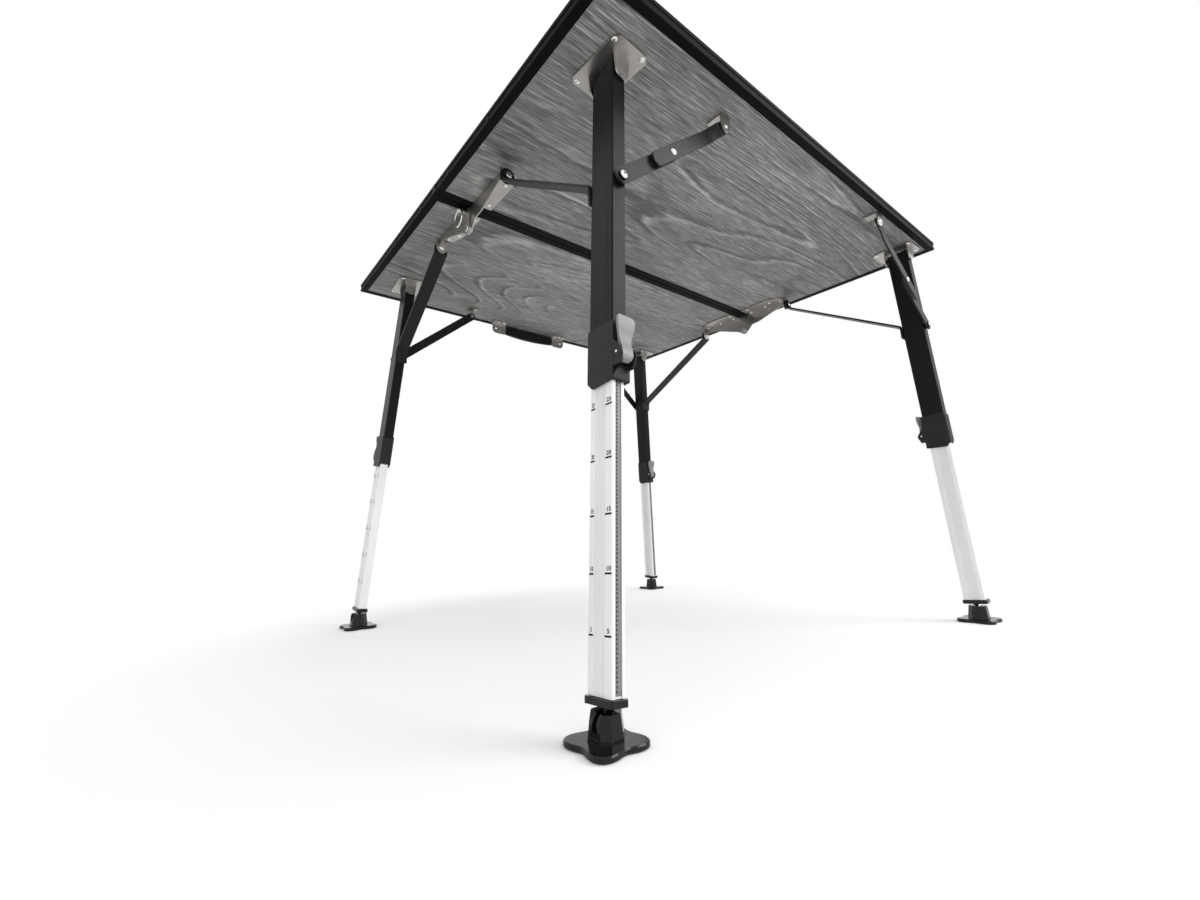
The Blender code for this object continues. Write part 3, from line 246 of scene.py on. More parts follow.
class Finish:
    """A node material under construction, with its shader and its object coordinates."""

    def __init__(self, name):
        self.material = bpy.data.materials.new(name)
        self.material.use_nodes = True
        self.tree = self.material.node_tree
        self.shader = self.tree.nodes["Principled BSDF"]
        self.coordinates = self.tree.nodes.new("ShaderNodeTexCoord").outputs["Object"]

    def link(self, source, target):
        self.tree.links.new(source, target)

    def mapped(self, scale, turn=(0, 0, 0)):
        node = self.tree.nodes.new("ShaderNodeMapping")
        set_input(node, "Scale", scale)
        set_input(node, "Rotation", turn)
        self.link(self.coordinates, node.inputs["Vector"])
        return node.outputs["Vector"]

    def noise(self, vector, scale, detail=3.0, roughness=0.5, distortion=0.0):
        node = self.tree.nodes.new("ShaderNodeTexNoise")
        set_input(node, "Scale", scale)
        set_input(node, "Detail", detail)
        set_input(node, "Roughness", roughness)
        set_input(node, "Distortion", distortion)
        self.link(vector, node.inputs["Vector"])
        return node.outputs["Fac"]

    def math(self, operation, *values, clamp=False):
        node = self.tree.nodes.new("ShaderNodeMath")
        node.operation = operation
        node.use_clamp = clamp
        for k, value in enumerate(values):
            if isinstance(value, (int, float)):
                node.inputs[k].default_value = value
            else:
                self.link(value, node.inputs[k])
        return node.outputs[0]

    def ramp(self, value, *stops):
        node = self.tree.nodes.new("ShaderNodeValToRGB")
        elements = node.color_ramp.elements
        while len(elements) < len(stops):
            elements.new(0.5)
        for element, (place, colour) in zip(elements, stops):
            element.position = place
            element.color = (*colour, 1.0)
        self.link(value, node.inputs["Fac"])
        return node.outputs["Color"]

    def multiplied(self, factor, first, second):
        node = self.tree.nodes.new("ShaderNodeMix")
        node.data_type = "RGBA"
        node.blend_type = "MULTIPLY"
        for name, value in (("Factor", factor), ("A", first), ("B", second)):
            target = [item for item in node.inputs if item.name == name and item.enabled][0]
            if isinstance(value, (int, float)):
                target.default_value = value
            elif isinstance(value, tuple):
                target.default_value = (*value, 1.0)
            else:
                self.link(value, target)
        return [item for item in node.outputs if item.enabled][0]

    def colour(self, source):
        self.link(source, self.shader.inputs["Base Color"])

    def roughness(self, source, low, high):
        node = self.tree.nodes.new("ShaderNodeMapRange")
        set_input(node, "To Min", low)
        set_input(node, "To Max", high)
        self.link(source, node.inputs["Value"])
        self.link(node.outputs["Result"], self.shader.inputs["Roughness"])

    def bump(self, height, strength, distance):
        node = self.tree.nodes.new("ShaderNodeBump")
        set_input(node, "Strength", strength)
        set_input(node, "Distance", distance)
        self.link(height, node.inputs["Height"])
        self.link(node.outputs["Normal"], self.shader.inputs["Normal"])

    def set(self, **values):
        for name, value in values.items():
            set_input(self.shader, name.replace("_", " "), value)
        return self


def grey_laminate():
    """Grey oak print: light cathedral lines and fine fibres that run along Y."""
    finish = Finish("grey_laminate")
    field = finish.noise(finish.mapped((1.0, 0.16, 1.0)),
                         scale=4.6, detail=1.2, roughness=0.40, distortion=0.25)
    ragged = finish.noise(finish.mapped((1.0, 0.22, 1.0)), scale=150.0, detail=2.0, roughness=0.6)
    phase = finish.math("MULTIPLY_ADD", ragged, 1.5, finish.math("MULTIPLY", field, 175.0))
    wave = finish.math("SINE", phase)
    light = finish.math("POWER", finish.math("MAXIMUM", wave, 0.0), 7.0)
    trough = finish.math("SINE", finish.math("SUBTRACT", phase, 0.9))
    dark = finish.math("POWER", finish.math("MAXIMUM", trough, 0.0), 5.0)
    patch = finish.noise(finish.mapped((1.0, 0.30, 1.0), (0, 0, 0.02)), scale=8.0, detail=2.0)
    shown = finish.math("MULTIPLY", finish.math("SUBTRACT", patch, 0.40), 5.0, clamp=True)
    strand = finish.noise(finish.mapped((1.0, 0.024, 1.0)),
                          scale=620.0, detail=3.0, roughness=0.70, distortion=0.10)
    fibre = finish.noise(finish.mapped((1.0, 0.045, 1.0)), scale=1000.0, detail=2.0, roughness=0.60)
    cloud = finish.noise(finish.mapped((1.0, 0.25, 1.0)), scale=11.0, detail=4.0, roughness=0.6)
    tone = finish.math("MULTIPLY_ADD", finish.math("SUBTRACT", cloud, 0.5), 0.60, 0.47)
    tone = finish.math("MULTIPLY_ADD", finish.math("SUBTRACT", strand, 0.5), 1.75, tone)
    tone = finish.math("MULTIPLY_ADD", finish.math("SUBTRACT", fibre, 0.5), 1.00, tone)
    tone = finish.math("MULTIPLY_ADD", finish.math("MULTIPLY", light, shown), 0.24, tone)
    tone = finish.math("MULTIPLY_ADD", finish.math("MULTIPLY", dark, shown), -0.30, tone)
    finish.colour(finish.ramp(tone, *LAMINATE_TONES))
    finish.roughness(fibre, 0.42, 0.62)
    finish.bump(tone, 0.30, 0.0004)
    return finish.material


def anodised_black(name, tone, low, high, gloss):
    """Black anodised profile: faint draw lines and a soft bluish sheen."""
    finish = Finish(name)
    lines = finish.noise(finish.mapped((1.0, 1.0, 0.03)), 700.0, 2.0)
    cloud = finish.noise(finish.coordinates, 22.0, 3.0)
    shade = finish.math("MULTIPLY_ADD", cloud, 0.4, 0.8)
    finish.colour(finish.multiplied(1.0, tone, shade))
    finish.roughness(lines, low, high)
    finish.bump(lines, 0.10, 0.00008)
    return finish.set(Specular_Tint=(0.88, 0.93, 1.0, 1.0), Specular_IOR_Level=gloss).material


def coated_black():
    """Powder coat of the braces, with a slight orange peel."""
    finish = Finish("coated_black")
    peel = finish.noise(finish.coordinates, 900.0, 2.0)
    cloud = finish.noise(finish.coordinates, 35.0, 3.0)
    finish.colour(finish.ramp(cloud, (0.3, (0.009, 0.009, 0.010)), (0.7, (0.013, 0.013, 0.014))))
    finish.roughness(cloud, 0.34, 0.46)
    finish.bump(peel, 0.22, 0.0001)
    return finish.set(Specular_IOR_Level=0.19).material


def moulded(name, dark, light, low, high, grain, gloss=0.5):
    """Moulded plastic with a fine eroded grain."""
    finish = Finish(name)
    speckle = finish.noise(finish.coordinates, grain, 3.0, 0.6)
    cloud = finish.noise(finish.coordinates, 40.0, 3.0)
    finish.colour(finish.ramp(cloud, (0.3, dark), (0.7, light)))
    finish.roughness(speckle, low, high)
    finish.bump(speckle, 0.18, 0.00012)
    return finish.set(Specular_IOR_Level=gloss).material


def silver_anodised():
    """Silver anodised tube, drawn along its length."""
    finish = Finish("silver_anodised")
    lines = finish.noise(finish.mapped((1.0, 1.0, 0.02)), 900.0, 2.0)
    cloud = finish.noise(finish.mapped((1.0, 1.0, 0.3)), 26.0, 3.0)
    finish.colour(finish.ramp(cloud, (0.3, (0.80, 0.81, 0.82)), (0.7, (0.88, 0.89, 0.90))))
    finish.roughness(lines, 0.36, 0.52)
    finish.bump(lines, 0.12, 0.00008)
    return finish.set(Metallic=0.20).material


def brushed(name, dark, light, low, high, metallic=1.0):
    """Steel sheet with a fine brushed run along X."""
    finish = Finish(name)
    brush = finish.noise(finish.mapped((0.04, 1.0, 1.0)), 1300.0, 3.0, 0.6)
    cloud = finish.noise(finish.coordinates, 45.0, 3.0)
    tone = finish.ramp(cloud, (0.3, dark), (0.7, light))
    streak = finish.ramp(brush, (0.3, (0.86, 0.86, 0.86)), (0.7, (1.0, 1.0, 1.0)))
    finish.colour(finish.multiplied(0.8, tone, streak))
    finish.roughness(brush, low, high)
    finish.bump(brush, 0.14, 0.00006)
    return finish.set(Metallic=metallic).material


def printed_ink():
    """Matt black ink of the height scale."""
    finish = Finish("printed_ink")
    edge = finish.noise(finish.coordinates, 4000.0, 2.0)
    finish.colour(finish.ramp(edge, (0.3, (0.003, 0.003, 0.003)), (0.8, (0.010, 0.010, 0.011))))
    finish.roughness(edge, 0.55, 0.70)
    return finish.set(Specular_IOR_Level=0.15).material


MATERIALS = {
    "laminate": grey_laminate(),
    "black_rail": anodised_black("anodised_rail", (0.0062, 0.0066, 0.0074),
                                 low=0.30, high=0.42, gloss=0.13),
    "black_brace": coated_black(),
    "dark_sleeve": moulded("sleeve_plastic", (0.013, 0.013, 0.0145), (0.017, 0.017, 0.019),
                           low=0.42, high=0.56, grain=1500.0, gloss=0.20),
    "grey_lever": moulded("lever_plastic", (0.175, 0.175, 0.176), (0.200, 0.200, 0.202),
                          low=0.32, high=0.44, grain=1800.0),
    "silver_tube": silver_anodised(),
    "steel_plate": brushed("brushed_plate", (0.42, 0.405, 0.385), (0.50, 0.485, 0.465),
                           low=0.28, high=0.42),
    "bright_steel": brushed("bright_rivet", (0.82, 0.815, 0.80), (0.92, 0.915, 0.905),
                            low=0.18, high=0.30),
    "black_foot": moulded("foot_gloss", (0.005, 0.005, 0.0055), (0.008, 0.008, 0.0085),
                          low=0.08, high=0.16, grain=500.0, gloss=0.30),
    "black_grip": moulded("grip_plastic", (0.006, 0.006, 0.0065), (0.010, 0.010, 0.0105),
                          low=0.30, high=0.42, grain=1500.0, gloss=0.25),
}
RAIL_PROFILE = anodised_black("rail_profile", (0.0042, 0.0044, 0.0047),
                              low=0.44, high=0.58, gloss=0.04)
INK = printed_ink()
# Painted shade: a dark colour put where the ratchet holes and the screw sockets are, standing for the shade inside
# them
PAINTED_HOLE_SHADE = moulded("painted_hole_shade", (0.045, 0.045, 0.046), (0.060, 0.060, 0.061),
                       low=0.5, high=0.7, grain=2500.0)
STRIP_GREY = brushed("ratchet_strip", (0.20, 0.20, 0.20), (0.25, 0.25, 0.25),
                     low=0.42, high=0.56, metallic=0.2)


# Making and placing pieces

def placed(name, data):
    """An object in the scene, at the origin."""
    item = bpy.data.objects.new(name, data)
    bpy.context.scene.collection.objects.link(item)
    return item


def piece_from(name, mesh, body, slot, material=None):
    """A finished mesh as a piece that rides on a body."""
    mesh.materials.clear()
    mesh.materials.append(material or MATERIALS[slot])
    piece = placed(name, mesh)
    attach(piece, body)
    return piece


def finished_mesh(bm, name):
    """A bmesh as a plain mesh. The bmesh is freed."""
    mesh = bpy.data.meshes.new(name)
    bm.to_mesh(mesh)
    bm.free()
    return mesh


def join_meshes(name, meshes):
    bm = bmesh.new()
    for mesh in meshes:
        bm.from_mesh(mesh)
        bpy.data.meshes.remove(mesh)
    return finished_mesh(bm, name)


def evaluated_mesh(item):
    bpy.context.view_layer.update()
    graph = bpy.context.evaluated_depsgraph_get()
    return bpy.data.meshes.new_from_object(item.evaluated_get(graph))


def rounded_mesh(mesh, width, sharp):
    """Edges rounded, flat faces kept flat in the shading."""
    scratch = placed("scratch", mesh)
    bevel = scratch.modifiers.new("Round", "BEVEL")
    bevel.width = width
    bevel.segments = EDGE_SEGMENTS
    bevel.limit_method = "ANGLE"
    bevel.angle_limit = math.radians(ROUND_ABOVE)
    rounded = evaluated_mesh(scratch)
    scratch.modifiers.remove(bevel)
    rounded.shade_smooth()
    rounded.set_sharp_from_angle(angle=math.radians(sharp))
    scratch.data = rounded
    even = scratch.modifiers.new("Even", "WEIGHTED_NORMAL")
    even.keep_sharp = True
    even.weight = FLAT_FACE_WEIGHT
    result = evaluated_mesh(scratch)
    bpy.data.objects.remove(scratch)
    bpy.data.meshes.remove(rounded)
    return result


def softened(node, width, sharp):
    """A copy of a CAD node with its edges rounded, standing for it."""
    mesh = NODES[node].data.copy()
    bm = bmesh.new()
    bm.from_mesh(mesh)
    bmesh.ops.remove_doubles(bm, verts=bm.verts, dist=WELD)
    bmesh.ops.dissolve_limit(bm, angle_limit=math.radians(FLAT_WITHIN),
                             verts=bm.verts, edges=bm.edges)
    bmesh.ops.recalc_face_normals(bm, faces=bm.faces)
    bm.to_mesh(mesh)
    bm.free()
    result = rounded_mesh(mesh, width, sharp)
    bpy.data.meshes.remove(mesh)
    material = RAIL_PROFILE if node.endswith("edge_frame") else None
    piece = piece_from(f"{node}_shell", result, BODY_OF[node], SLOT_OF[node], material)
    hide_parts(node)


def soften_all():
    for node in sorted(NODES):
        kind = [key for key in EDGE_ROUNDING if node.endswith(key)]
        if kind:
            sharp = CRISP_BELOW if node.endswith(CRISP) else SMOOTH_BELOW
            softened(node, EDGE_ROUNDING[max(kind, key=len)], sharp)


# Rivets and ratchet holes, as geometry nodes

def node_input(tree, name, kind, value):
    item = tree.interface.new_socket(name, in_out="INPUT", socket_type=kind)
    item.default_value = value
    return item.identifier


def stud_tree(name, material):
    """Domed studs with flat bases on loose points, each turned to the point's facing attribute."""
    tree = bpy.data.node_groups.new(name, "GeometryNodeTree")
    tree.interface.new_socket("Geometry", in_out="INPUT", socket_type="NodeSocketGeometry")
    radius = node_input(tree, "Radius", "NodeSocketFloat", HEADS["rivet"][0])
    height = node_input(tree, "Height", "NodeSocketFloat", HEADS["rivet"][1])
    tree.interface.new_socket("Geometry", in_out="OUTPUT", socket_type="NodeSocketGeometry")
    nodes = tree.nodes
    start = nodes.new("NodeGroupInput")
    end = nodes.new("NodeGroupOutput")
    dome = nodes.new("GeometryNodeMeshUVSphere")
    set_input(dome, "Segments", HEAD_SEGMENTS)
    set_input(dome, "Rings", HEAD_RINGS)
    set_input(dome, "Radius", 1.0)
    facing = nodes.new("GeometryNodeInputNamedAttribute")
    facing.data_type = "FLOAT_VECTOR"
    set_input(facing, "Name", "facing")
    align = nodes.new("FunctionNodeAlignRotationToVector")
    align.axis = "Z"
    size = nodes.new("ShaderNodeCombineXYZ")
    place = nodes.new("GeometryNodeInstanceOnPoints")
    real = nodes.new("GeometryNodeRealizeInstances")
    smooth = nodes.new("GeometryNodeSetShadeSmooth")
    coat = nodes.new("GeometryNodeSetMaterial")
    set_input(coat, "Material", material)
    where = nodes.new("GeometryNodeInputPosition")
    split = nodes.new("ShaderNodeSeparateXYZ")
    floor = nodes.new("ShaderNodeMath")
    floor.operation = "MAXIMUM"
    floor.inputs[1].default_value = 0.0
    above = nodes.new("ShaderNodeCombineXYZ")
    flat = nodes.new("GeometryNodeSetPosition")
    link = tree.links.new
    link(where.outputs["Position"], split.inputs["Vector"])
    link(split.outputs["Z"], floor.inputs[0])
    link(split.outputs["X"], above.inputs["X"])
    link(split.outputs["Y"], above.inputs["Y"])
    link(floor.outputs["Value"], above.inputs["Z"])
    link(dome.outputs["Mesh"], flat.inputs["Geometry"])
    link(above.outputs["Vector"], flat.inputs["Position"])
    link(start.outputs["Geometry"], place.inputs["Points"])
    link(flat.outputs["Geometry"], place.inputs["Instance"])
    link(facing.outputs["Attribute"], align.inputs["Vector"])
    link(align.outputs["Rotation"], place.inputs["Rotation"])
    link(start.outputs["Radius"], size.inputs["X"])
    link(start.outputs["Radius"], size.inputs["Y"])
    link(start.outputs["Height"], size.inputs["Z"])
    link(size.outputs["Vector"], place.inputs["Scale"])
    link(place.outputs["Instances"], real.inputs["Geometry"])
    link(real.outputs["Geometry"], smooth.inputs["Geometry"])
    link(smooth.outputs["Geometry"], coat.inputs["Geometry"])
    link(coat.outputs["Geometry"], end.inputs["Geometry"])
    return tree, radius, height


def grown(points, tree, settings):
    """Plain mesh that a node tree grows on loose points with a facing each."""
    mesh = bpy.data.meshes.new("points")
    mesh.from_pydata([tuple(place) for place, _ in points], [], [])
    facing = mesh.attributes.new("facing", "FLOAT_VECTOR", "POINT")
    flat = [value for _, direction in points for value in direction]
    facing.data.foreach_set("vector", flat)
    scratch = placed("scratch", mesh)
    modifier = scratch.modifiers.new("Studs", "NODES")
    modifier.node_group = tree
    for identifier, value in settings.items():
        modifier[identifier] = value
    result = evaluated_mesh(scratch)
    bpy.data.objects.remove(scratch)
    return result


STUDS, STUD_RADIUS, STUD_HEIGHT = stud_tree("rivet_heads", MATERIALS["bright_steel"])


def add_studs(name, body, points, head="rivet", slot="bright_steel"):
    radius, height = HEADS[head]
    mesh = grown(points, STUDS, {STUD_RADIUS: radius, STUD_HEIGHT: height})
    piece_from(name, mesh, body, slot)


def block(size, place, axes):
    """A small slab with its size along three axes."""
    bm = bmesh.new()
    turn = Matrix(axes).transposed().to_4x4()
    matrix = Matrix.Translation(place) @ turn @ Matrix.Diagonal((*size, 1))
    bmesh.ops.create_cube(bm, size=1.0, matrix=matrix)
    bmesh.ops.recalc_face_normals(bm, faces=bm.faces)
    return finished_mesh(bm, "block")


def screw_socket(name, body, place, facing, radius):
    """Six-sided recess of a socket screw, drawn as a dark prism just above the head: painted shade in the recess.
    """
    bm = bmesh.new()
    turn = facing.to_track_quat("Z", "Y").to_matrix().to_4x4()
    bmesh.ops.create_cone(bm, cap_ends=True, segments=6, radius1=radius, radius2=radius,
                          depth=SOCKET_DEPTH, matrix=Matrix.Translation(place) @ turn)
    piece_from(name, finished_mesh(bm, "hex"), body, "black_brace", PAINTED_HOLE_SHADE)


def plate_rivets():
    """Rivets through the flanges under the boards."""
    down = Vector((0, 0, -1))
    for node, places in RIVETS.items():
        points = [(Vector((x, y + CENTRE_Y, FLANGE_UNDER)), down) for x, y in places]
        add_studs(f"{node}_rivets", BODY_OF[node], points)


def leg_bracket_rivets():
    """A rivet near each corner of a leg bracket's flange."""
    down = Vector((0, 0, -1))
    inset = BRACKET_RIVET_INSET
    for name in LEGS:
        node = f"{name}_leg_bracket"
        low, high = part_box(node)
        points = [(Vector((x, y, FLANGE_UNDER)), down)
                  for x in (low.x + inset, high.x - inset) for y in (low.y + inset, high.y - inset)]
        add_studs(f"{node}_rivets", BODY_OF[node], points)


def knee_rivets():
    """Heads at the leg stud, at the knee and on the bracket's ear."""
    for name, leg in FRAMES.items():
        out = leg.outward
        screw = Vector(JOINTS[f"{name}_brace_lower_turn"]["pos_m"])
        turn = Vector(JOINTS[f"{name}_brace_upper_turn"]["pos_m"])
        stud = leg.point(LEG_STUD_OUT, 0, KNEE_DOWN)
        add_studs(f"{name}_leg_stud_head", f"{name}_leg", [(stud, out)], "leg_stud")
        screw_socket(f"{name}_leg_stud_socket", f"{name}_leg",
                     leg.point(LEG_STUD_SOCKET_OUT, 0, KNEE_DOWN), out, LEG_STUD_SOCKET)
        low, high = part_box(f"{name}_brace_bracket")
        ear = high.x if leg.half > 0 else low.x
        add_studs(f"{name}_brace_bracket_head", BODY_OF[f"{name}_brace_bracket"],
                  [(Vector((ear, turn.y, turn.z)), Vector((leg.half, 0, 0)))], "ear")
        run = turn - screw
        along = (run - leg.outward * run.dot(leg.outward)).normalized()
        knee = leg.point(KNEE_OUT, 0, KNEE_DOWN) + along * KNEE_REACH
        add_studs(f"{name}_knee_rivet", f"{name}_brace_upper", [(knee, out)], "knee")


def fold_bolts():
    """Bolts of the long braces: a dome on the plate's tab and one on the brace's own head."""
    for name, leg in FRAMES.items():
        axis = Vector(JOINTS[f"{name}_leg_fold"]["axis"])
        axis = axis if axis.x * leg.half > 0 else -axis
        low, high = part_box(f"{name}_hinge_plate")
        tab = (high.x if leg.half > 0 else -low.x) - SHEET
        inner = leg.pivot + axis * ((leg.half * tab - leg.pivot.x) / axis.x)
        add_studs(f"{name}_tab_bolt", f"{name.split('_')[0]}_half",
                  [(inner, -axis.normalized())], "tab_bolt")
        low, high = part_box(f"{name}_long_brace")
        lug = min(abs(low.x), abs(high.x)) + LUG_TO_HEAD
        outer = leg.pivot + axis * ((leg.half * lug - leg.pivot.x) / axis.x)
        outer.x = leg.half * lug
        facing = Vector((leg.half, 0, 0))
        add_studs(f"{name}_lug_bolt", f"{name}_leg", [(outer, facing)], "lug_bolt")
        screw_socket(f"{name}_lug_bolt_socket", f"{name}_leg",
                     outer + facing * LUG_SOCKET_RISE, facing, LUG_SOCKET)


def lever_pins():
    """Both ends of the pin that each lever turns on."""
    for name, leg in FRAMES.items():
        pin = Vector(JOINTS[f"{name}_lever_press"]["pos_m"])
        points = [(pin + leg.inward * way * PIN_REACH, leg.inward * way) for way in (-1, 1)]
        add_studs(f"{name}_lever_pin_ends", f"{name}_leg", points, "lever_pin")


def rail_fittings():
    """Small nubs on the rails' outer faces and a joint cover at each end of the seam."""
    across = ((1, 0, 0), (0, 1, 0), (0, 0, 1))
    for half in ("near", "far"):
        low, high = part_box(f"{half}_edge_frame")
        way = 1 if half == "near" else -1
        points = [(Vector((way * x, y, RAIL_BOTTOM + NUB_HEIGHT)), Vector((0, side, 0)))
                  for x in RAIL_NUBS for y, side in ((low.y, -1), (high.y, 1))]
        add_studs(f"{half}_rail_nubs", f"{half}_half", points, "nub", "black_rail")
        size = (COVER_WIDTH, COVER_THICKNESS, (high.z - low.z) * COVER_SHARE)
        covers = [block(size, (way * COVER_FROM_SEAM, y, (low.z + high.z) / 2), across)
                  for y in (low.y - COVER_THICKNESS / 2, high.y + COVER_THICKNESS / 2)]
        name = f"{half}_seam_cover"
        piece_from(name, join_meshes(name, covers), f"{half}_half", "dark_sleeve")


def tube_lines():
    """Two draw lines down each wide face of the upper tubes, and two slanting pressed marks."""
    for name, leg in FRAMES.items():
        lines = []
        for way in (-1, 1):
            face = way * (TUBE_FACE + LINE_RISE)
            for x in (-LINE_ASIDE, LINE_ASIDE):
                middle = leg.point(x, face, LINE_MIDDLE)
                lines.append(block(LINE_SIZE, middle, (leg.outward, leg.inward, leg.up)))
            for s in MARK_PLACES:
                slope = (leg.up * MARK_SLOPE + leg.outward * leg.lever_side).normalized()
                middle = leg.point(-leg.lever_side * MARK_ASIDE, face, s)
                axes = (slope.cross(leg.inward), leg.inward, slope)
                lines.append(block(MARK_SIZE, middle, axes))
        mesh = join_meshes(f"{name}_tube_lines", lines)
        piece_from(f"{name}_tube_lines", mesh, f"{name}_leg", "black_rail")


def bead(points, radius):
    """A round bead along a path of points, closed at both ends."""
    curve = bpy.data.curves.new("bead", "CURVE")
    curve.dimensions = "3D"
    curve.bevel_depth = radius
    curve.bevel_resolution = 3
    curve.use_fill_caps = True
    line = curve.splines.new("POLY")
    line.points.add(len(points) - 1)
    for corner, place in zip(line.points, points):
        corner.co = (*place, 1.0)
    scratch = placed("scratch", curve)
    mesh = evaluated_mesh(scratch)
    bpy.data.objects.remove(scratch)
    mesh.shade_smooth()
    return mesh


def foot_ridges():
    """Two raised ridges below the slot of each foot, low enough for the folded end cap."""
    half = Vector((RIDGE_HALF, 0, 0))
    for name, leg in FRAMES.items():
        ball = Vector(JOINTS[f"{name}_foot_tilt"]["pos_m"])
        face = ball + Vector((0, leg.side, 0)) * RIDGE_PLANE
        ridges = []
        for drop in RIDGE_DROPS:
            level = face - Vector((0, 0, drop))
            ridges.append(bead([level - half, level + half], RIDGE_RADIUS))
        mesh = join_meshes(f"{name}_foot_ridges", ridges)
        piece_from(f"{name}_foot_ridges", mesh, f"{name}_foot", "black_foot")


# Inner tubes with their ribs, ratchet and print

def tube_outline():
    """Section of the inner tube: grooves in both wide faces and a track on the lever's side."""
    corner = TUBE_CORNER
    bend = corner * CORNER_BEND
    half = GROOVE_WIDTH / 2
    floor_half = half * GROOVE_TAPER
    floor = INNER_Y - GROOVE_DEPTH
    points = [(INNER_X, -INNER_Y + corner), (INNER_X, -TRACK_HALF),
              (INNER_X - TRACK_DEPTH, -TRACK_HALF), (INNER_X - TRACK_DEPTH, TRACK_HALF),
              (INNER_X, TRACK_HALF), (INNER_X, INNER_Y - corner),
              (INNER_X - bend, INNER_Y - bend), (INNER_X - corner, INNER_Y)]
    middle = [GROOVE_MIDDLE + (k - (GROOVES - 1) / 2) * GROOVE_PITCH for k in range(GROOVES)]
    for x in reversed(middle):
        points += [(x + half, INNER_Y), (x + floor_half, floor),
                   (x - floor_half, floor), (x - half, INNER_Y)]
    points += [(-INNER_X + corner, INNER_Y), (-INNER_X + bend, INNER_Y - bend),
               (-INNER_X, INNER_Y - corner), (-INNER_X, -INNER_Y + corner),
               (-INNER_X + bend, -INNER_Y + bend), (-INNER_X + corner, -INNER_Y)]
    for x in middle:
        points += [(x - half, -INNER_Y), (x - floor_half, -floor),
                   (x + floor_half, -floor), (x + half, -INNER_Y)]
    points += [(INNER_X - corner, -INNER_Y), (INNER_X - bend, -INNER_Y + bend)]
    return points


def inner_tubes():
    """The section drawn out along each leg, standing for the plain inner tube."""
    for name, leg in FRAMES.items():
        bm = bmesh.new()
        rings = []
        for s in (INNER_TOP, INNER_END):
            rings.append([bm.verts.new(leg.point(leg.lever_side * x, y, s))
                          for x, y in tube_outline()])
        count = len(rings[0])
        for k in range(count):
            k_next = (k + 1) % count
            bm.faces.new((rings[0][k], rings[0][k_next], rings[1][k_next], rings[1][k]))
        bm.faces.new(rings[0])
        bm.faces.new(rings[1])
        bmesh.ops.recalc_face_normals(bm, faces=bm.faces)
        mesh = finished_mesh(bm, f"{name}_ribbed_tube")
        mesh.shade_smooth()
        mesh.set_sharp_from_angle(angle=math.radians(TUBE_SMOOTH_BELOW))
        piece = piece_from(f"{name}_ribbed_tube", mesh, f"{name}_lower_leg", "silver_tube")
        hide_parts(f"{name}_inner_tube")


def figure_mesh(text, width):
    """A printed number, drawn in X and Y, centred on X = 0 and standing on Y = 0."""
    curve = bpy.data.curves.new("figure", "FONT")
    curve.body = text
    curve.size = FIGURE_SIZE
    curve.align_x = "CENTER"
    curve.extrude = PRINT_THICKNESS
    curve.offset = FIGURE_WEIGHT
    curve.resolution_u = 3
    scratch = placed("scratch", curve)
    mesh = evaluated_mesh(scratch)
    bpy.data.objects.remove(scratch)
    mesh.transform(Matrix.Diagonal((width, 1, 1, 1)))
    return mesh


def scale_print():
    """Plain height figures with a bar under each, in two columns on the outer wide face."""
    for name, leg in FRAMES.items():
        facing = -leg.inward
        right = leg.up.cross(facing)
        toward_lever = 1 if right.dot(leg.outward) * leg.lever_side > 0 else -1
        meshes = []
        for k, value in enumerate(SCALE_FIGURES):
            down = SCALE_START + k * SCALE_STEP
            base = leg.pivot - leg.up * down + facing * (INNER_Y + PRINT_THICKNESS)
            for column in (WIDE_COLUMN, SLIM_COLUMN):
                start, end = (toward_lever * place for place in column["bar"])
                size = (abs(end - start), 2 * PRINT_THICKNESS, BAR_HEIGHT)
                middle = base + right * ((start + end) / 2)
                meshes.append(block(size, middle, (right, facing, leg.up)))
                figure = figure_mesh(str(value), column["width"])
                place = base + right * (toward_lever * column["figure"]) + leg.up * FIGURE_RISE
                figure.transform(leg.matrix(right, leg.up, place))
                meshes.append(figure)
        mesh = join_meshes(f"{name}_height_scale", meshes)
        piece_from(f"{name}_height_scale", mesh, f"{name}_lower_leg", "silver_tube", INK)


def ratchet_strips():
    """Grey strip at the bottom of the track."""
    for name, leg in FRAMES.items():
        length = INNER_END - INNER_TOP - STRIP_SHORTER
        size = (STRIP_THICKNESS, 2 * TRACK_HALF - STRIP_NARROWER, length)
        face = leg.lever_side * (INNER_X - TRACK_DEPTH + STRIP_THICKNESS / 2)
        middle = leg.point(face, 0, (INNER_TOP + INNER_END) / 2)
        strip = block(size, middle, (leg.outward, leg.inward, leg.up))
        piece_from(f"{name}_ratchet_strip", strip, f"{name}_lower_leg", "silver_tube", STRIP_GREY)


